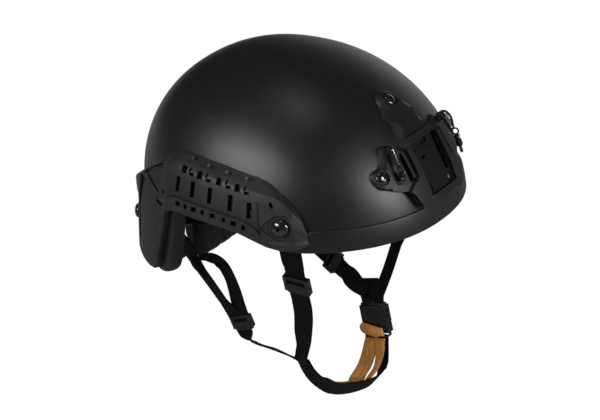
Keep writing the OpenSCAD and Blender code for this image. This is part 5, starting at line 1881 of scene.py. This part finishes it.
    def keeper(self) -> None:
        """The thin elastic that holds the cup to the strap below its flap."""
        corners = [(50.3, -21.8, -167.6), (50.2, -32, -166.1), (50.4, -40.5, -164.5), (52.4, -42.6, -164),
                   (58.6, -42.6, -164.2), (61.2, -40.6, -164.6), (61.4, -31, -166.6), (61, -22, -168.2),
                   (59.2, -19.9, -168.6), (52.2, -19.7, -168.4)]
        route = spline(corners + corners[:1], 6)[:-1]
        up = np.array([0, 0.16, 0.987])
        out = unit(np.cross(heading(route, True), up))
        shape = [(-1.0, -0.35), (1.0, -0.35), (1.2, 0.0), (1.0, 0.35), (-1.0, 0.35), (-1.2, 0.0)]
        sections = np.stack([route + up * a + out * b for a, b in shape], 1)
        obj = rings("cup_elastic", sections, self.shop.finishes["strap_thread"], loop=True, smooth=60)
        run = np.repeat(np.arange(len(route)) * 1.8, len(shape))
        cloth_map(obj, np.stack([run, np.tile([a for a, _ in shape], len(route))], -1))
        self.shop.give(obj, "buckle_plug", "black_web", "cup_keeper")

    def build(self) -> None:
        """Makes the webbing and dresses the moulded hardware."""
        self.fronts()
        self.rears()
        self.chin()
        self.cup()
        b = np.array(self.buckle_at)
        along, flat = unit(np.array([-0.04, -0.2, -0.98])), np.array((0, -1, 0.2))
        points = [b + (1.2, 6, 25), b + (1.2, 4, 17), b + (1.2, 2.6, 11), b + (0.5, 1.2, 4), b - 4 * along]
        yoke = spline(points, 6)
        wide = np.interp(np.linspace(0, 4, len(yoke)), [0, 1, 2, 3, 4], [23, 29, 27, 24, 21])
        self.shop.give(self.band("yoke_web", yoke, flat, wide), "helmet", "black_web", "yoke_left")
        self.shop.stitch("yoke_sewing", self.edges(yoke, flat, 20, 3, len(yoke) - 4), "helmet")
        sliders = [f"{end}_slider_{side}" for end in ("front", "rear") for side in ("right", "left")]
        for node in sliders + ["buckle_socket", "buckle_plug", "buckle_prongs"]:
            self.shop.keep(node, "black_plastic", 0.4)
        socket = aim(self.buckle_at, along, flat)
        ribs = [block((18 - 2.5 * i, 0.9, 1.1), (0, s * 4.6, 3.4 + 2.3 * i), socket)
                for s in (-1, 1) for i in range(4)]
        obj = rounded(together("buckle_ribs", ribs), 0.3, self.shop.finishes["black_plastic"])
        self.shop.give(obj, "helmet", "black_plastic")
        self.keeper()


# --- Liner ---


@dataclass
class Liner:
    """The foam pads, the headband and the dial that tightens it."""

    shop: Workshop
    pad_t: float = 15.0
    pad_back: float = -10.9
    front_z: Pair = (22.0, 62.0)
    side_z: Pair = (38.0, 78.0)
    rear_z: Pair = (8.0, 60.0)

    def cover(self, square: float) -> tuple[Array, ...]:
        """Places on a cushion's cover.

        Args:
            square: How far its corners are rounded, from 0 to 1.

        Returns:
            Counts along and up the cover, its places along and up, and the fall of its edge, all from -1 to 1.
        """
        a, b = np.meshgrid(np.linspace(-1, 1, 41), np.linspace(-1, 1, 31), indexing="ij")
        rim = np.clip(1 - np.maximum(np.abs(a), np.abs(b)) ** 8, 0, 1) ** 0.5
        return a, b, a * np.sqrt(1 - square * b**2 / 2), b * np.sqrt(1 - square * a**2 / 2), rim

    def cushion(self, name: str, top: Array, back: Array) -> Object:
        """Sews a cushion's crowned top and its back together.

        Args:
            name: The piece's name.
            top: Rows of points of its crown.
            back: Rows of points of its back.

        Returns:
            The cushion.
        """
        n, m = top.shape[:2]
        grid = lattice(n, m, close_cols=False)
        faces = grid + [tuple(n * m + i for i in f[::-1]) for f in grid]
        edge = [(i, 0) for i in range(n)] + [(n - 1, j) for j in range(1, m)]
        edge += [(i, m - 1) for i in range(n - 2, -1, -1)] + [(0, j) for j in range(m - 2, 0, -1)]
        loop = [i * m + j for i, j in edge]
        faces += [(i, j, n * m + j, n * m + i) for i, j in zip(loop, loop[1:] + loop[:1])]
        points = np.concatenate([top.reshape(-1, 3), back.reshape(-1, 3)])
        return make(name, points, faces, self.shop.finishes["pad_cloth"], 80)

    def pad(self, name: str, span: Pair, heights: Pair, flip: bool) -> Object:
        """A crowned cushion between two bearings and two heights, in a sewn cover.

        Args:
            name: The piece's name.
            span: Its bearings.
            heights: Its lowest and highest places.
            flip: Puts it on the other side.

        Returns:
            The cushion.
        """
        form, (a, b, x, y, rim) = self.shop.form, self.cover(0.72)
        pull = 1 - 0.05 * (1 - np.abs(a) ** 2) * np.abs(b) ** 6
        tuft = 0.1 * np.exp(-((a**2) * 6 + (b**2) * 6))
        crown = rim * (0.8 + 0.2 * (1 - a**2) * (1 - b**2) - tuft)
        u = (span[0] + span[1]) / 2 + (span[1] - span[0]) / 2 * x
        z = (heights[0] + heights[1]) / 2 + (heights[1] - heights[0]) / 2 * y * pull
        top = form.skin(u, z, self.pad_back - 0.3 - (self.pad_t - 0.3) * np.maximum(crown, 0.02))
        back = form.skin(u, z, self.pad_back - 3.2 * (1 - rim))
        side = MIRROR if flip else np.ones(3)
        return self.cushion(name, top * side, back * side)

    def pads(self) -> None:
        """All the pads round the shell."""
        rows = [
            ("pad_front", (-20, 20), self.front_z, False), ("pad_rear", (158, 202), self.rear_z, False),
            ("pad_temple_right", (38, 63), self.side_z, False), ("pad_temple_left", (38, 63), self.side_z, True),
            ("pad_side_right", (98, 140), self.side_z, False), ("pad_side_left", (98, 140), self.side_z, True),
        ]
        for node, span, heights, flip in rows:
            obj = self.pad(f"{node}_cushion", span, heights, flip)
            self.shop.give(obj, "helmet", "pad_cloth", node)
        self.crown()
        self.nape()

    def crown(self) -> None:
        """The round pad under the crown."""
        form = self.shop.form
        centre, top, ball, r = form.crown_back, form.crown_h + self.pad_back, 98.0, 44.0
        arc, turn = np.radians(np.linspace(0, 25, 9)[1:]), np.radians(np.linspace(0, 90, 7))
        rows = [(ball * math.sin(a), ball * math.cos(a) - ball) for a in arc]
        rows += [(r - 2 + 2 * math.cos(a), -self.pad_t * 0.62 - 3 * math.sin(a)) for a in turn]
        for k in np.linspace(0, 0.9, 9)[1:]:
            sag = 0.3 * self.pad_t * math.sin(math.radians(90 * k)) - 1.2 * math.exp(-((k - 0.55) / 0.08) ** 2)
            rows.append((r * (1 - k), -self.pad_t * 0.62 - 3 - sag))
        count = 64
        points = [[0, centre, top]]
        points += [[x * math.cos(t), centre + x * math.sin(t), top + y] for x, y in rows for t in around(count)]
        points.append([0, centre, top - self.pad_t * 0.92 - 3])
        n = len(rows)
        faces: Faces = [(0, 1 + j, 1 + (j + 1) % count) for j in range(count)]
        faces += [tuple(1 + i for i in f) for f in lattice(n, count)]
        last = 1 + n * count
        faces += [(last, last - count + (j + 1) % count, last - count + j) for j in range(count)]
        obj = make("pad_crown_cushion", np.array(points), faces, self.shop.finishes["pad_cloth"], 80)
        self.shop.give(obj, "helmet", "pad_cloth", "pad_crown")

    def nape(self) -> None:
        """The pad in front of the dial's housing."""
        low, high = (np.array(c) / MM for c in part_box("nape_pad"))
        a, _, x, y, rim = self.cover(0.35)
        groove = 0.16 * np.exp(-((a / 0.09) ** 2)) + 0.1 * np.exp(-(((np.abs(a) - 0.55) / 0.07) ** 2))
        middle, half = (low + high) / 2, (high - low) / 2
        x, z = middle[0] + half[0] * x, middle[2] + half[2] * y
        depth = (high[1] - low[1]) * np.maximum(rim * (0.82 + 0.18 * a**2 - groove), 0.03)
        back = np.stack([x, np.full_like(x, high[1]) - 2.5 * (1 - rim), z], -1)
        obj = self.cushion("nape_pad_cushion", np.stack([x, high[1] - depth, z], -1), back)
        self.shop.give(obj, "helmet", "pad_cloth", "nape_pad")

    def build(self) -> None:
        """Makes the pads and dresses the headband and the dial."""
        self.pads()
        for node in ("headband_right", "headband_left", "band_hangers", "band_arm_right", "band_arm_left",
                     "dial_housing", "cradle_plate"):
            self.shop.keep(node, "black_plastic", 0.3)
        self.shop.keep("dial_knob", "black_plastic", 0.6)
        self.shop.keep("dial_pinion", "black_plastic", 0.0)
        self.shop.keep("hook_discs", "hook_tape", 0.0)
        self.shop.keep("rail_nuts", "zinc_nut", 0.3)
        self.shop.keep("bracket_nuts", "zinc_nut", 0.3)


# --- Studio ---


@dataclass
class Studio:
    """Camera, floor, world and lamps."""

    azimuth: float = 55.2
    elevation: float = 23.5
    roll: float = -3.3
    distance: float = 1724.8
    focal: float = 1999.5
    centre: Pair = (305.4, 153.9)
    size: tuple[int, int] = (600, 420)

    def camera(self) -> None:
        """Puts the camera where the photograph was taken, turned so that no shift is needed."""
        a, e, r = (math.radians(x) for x in (self.azimuth, self.elevation, self.roll))
        back = Vector((-math.sin(a) * math.cos(e), -math.cos(a) * math.cos(e), math.sin(e)))
        level = Vector((math.cos(a), -math.sin(a), 0))
        up = back.cross(level)
        right = math.cos(r) * level + math.sin(r) * up
        top = -math.sin(r) * level + math.cos(r) * up
        eye = Vector((0, 0, 30)) + back * self.distance
        dx, dy = self.size[0] / 2 - self.centre[0], self.size[1] / 2 - self.centre[1]
        look = (-back * self.focal + right * dx - top * dy).normalized()
        x = (right - look * right.dot(look)).normalized()
        y = (-look).cross(x)
        data = bpy.data.cameras.new("camera")
        data.sensor_width = 36.0
        data.lens = 36.0 * self.focal / self.size[0]
        data.clip_start, data.clip_end = 0.05, 20.0
        bpy.context.scene.camera = link("camera", data, basis([c * MM for c in eye], x, y, -look))

    def lamp(self, name: str, place: Sequence[float], size: Pair, power: float,
             along: Sequence[float] = (0, 1, 0)) -> None:
        """Adds a soft lamp that faces the helmet.

        Args:
            name: Its name.
            place: Its place in metres.
            size: Its length and width in metres.
            power: Its power in watts.
            along: Direction of its length.
        """
        data = bpy.data.lights.new(name, "AREA")
        data.shape = "RECTANGLE"
        data.size, data.size_y = size
        data.energy = power
        link(name, data, aim(place, Vector(place) - Vector((0, 0, 0.02)), along))

    def world(self) -> None:
        """A white surround for the camera and a plain grey one for the light."""
        world = bpy.data.worlds.new("studio")
        bpy.context.scene.world = world
        world.use_nodes = True
        g = Graph(world.node_tree)
        world.node_tree.nodes.clear()
        path = g.add("ShaderNodeLightPath")
        soft = g.add("ShaderNodeBackground", {"Color": (1, 1, 1, 1), "Strength": 0.028})
        white = g.add("ShaderNodeBackground", {"Color": (1, 1, 1, 1), "Strength": 1.0})
        seen = g.math("ADD", path.outputs["Is Camera Ray"], path.outputs["Is Transmission Ray"])
        parts = g.add("ShaderNodeSeparateXYZ", {0: g.add("ShaderNodeTexCoord").outputs["Generated"]})
        rest = g.math("MULTIPLY_ADD", parts.outputs[1], 0.17, g.math("MULTIPLY", parts.outputs[2], 0.05))
        facing = g.math("MULTIPLY_ADD", parts.outputs[0], 0.98, rest)
        share = g.math("MULTIPLY_ADD", path.outputs["Is Glossy Ray"], g.span(facing, 0.88, 0.985, 0.02, 0.76), seen)
        mix = g.add("ShaderNodeMixShader", {0: share, 1: soft.outputs[0], 2: white.outputs[0]})
        g.add("ShaderNodeOutputWorld", {"Surface": mix.outputs[0]})

    def floor(self) -> None:
        """A plain pale floor below the straps."""
        size, z = 3000.0, -232.0
        corners = np.array([[-size, -size, z], [size, -size, z], [size, size, z], [-size, size, z]])
        obj = loose("floor", corners, faces=[(0, 1, 2, 3)])
        material = bpy.data.materials.new("floor")
        material.use_nodes = True
        g = Graph(material.node_tree)
        material.node_tree.nodes.clear()
        path = g.add("ShaderNodeLightPath")
        paint = g.add("ShaderNodeBsdfDiffuse", {"Color": (0.4, 0.4, 0.4, 1)})
        glow = g.add("ShaderNodeEmission", {"Color": (1, 1, 1, 1), "Strength": 1.2})
        parts = g.add("ShaderNodeSeparateXYZ", {0: g.place()})
        behind = g.math("MULTIPLY_ADD", parts.outputs[0], 0.82, g.math("MULTIPLY", parts.outputs[1], 0.57))
        sweep = g.math("MULTIPLY", path.outputs["Is Glossy Ray"], g.span(behind, 0.35, 1.3, 0.03, 0.5))
        share = g.math("MULTIPLY_ADD", path.outputs["Is Camera Ray"], 0.82, sweep)
        mix = g.add("ShaderNodeMixShader", {0: share, 1: paint.outputs[0], 2: glow.outputs[0]})
        g.add("ShaderNodeOutputMaterial", {"Surface": mix.outputs[0]})
        obj.data.materials.append(material)
        obj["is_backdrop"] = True

    def build(self) -> None:
        """Sets everything up."""
        self.camera()
        self.world()
        self.floor()
        self.lamp("side", (-1.36, 0.47, 0.85), (0.95, 0.4), 17.0, (-0.19, -0.51, -0.03))
        self.lamp("front", (0.03, -1.6, 0.5), (1.0, 0.4), 17.0, (0.49, -0.12, -0.42))
        self.lamp("top", (-0.15, 0, 1.7), (0.5, 0.4), 2.0)
        bpy.context.scene.view_settings.view_transform = "Standard"


def main() -> None:
    """Builds the helmet's looks in order."""
    logging.basicConfig(level=logging.INFO, format="%(message)s")
    Studio().build()
    shop = Workshop(ShellForm(), Finishes(), Repeats())
    ShellAndTrim(shop).build()
    SideRails(shop).build()
    FrontBracket(shop).build()
    StrapWork(shop).build()
    Liner(shop).build()
    total = sum(len(o.data.polygons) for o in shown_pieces() if o.type == "MESH")
    LOG.info("%d pieces, %d faces before modifiers", len(shop.made), total)


if __name__ == "__main__":
    main()
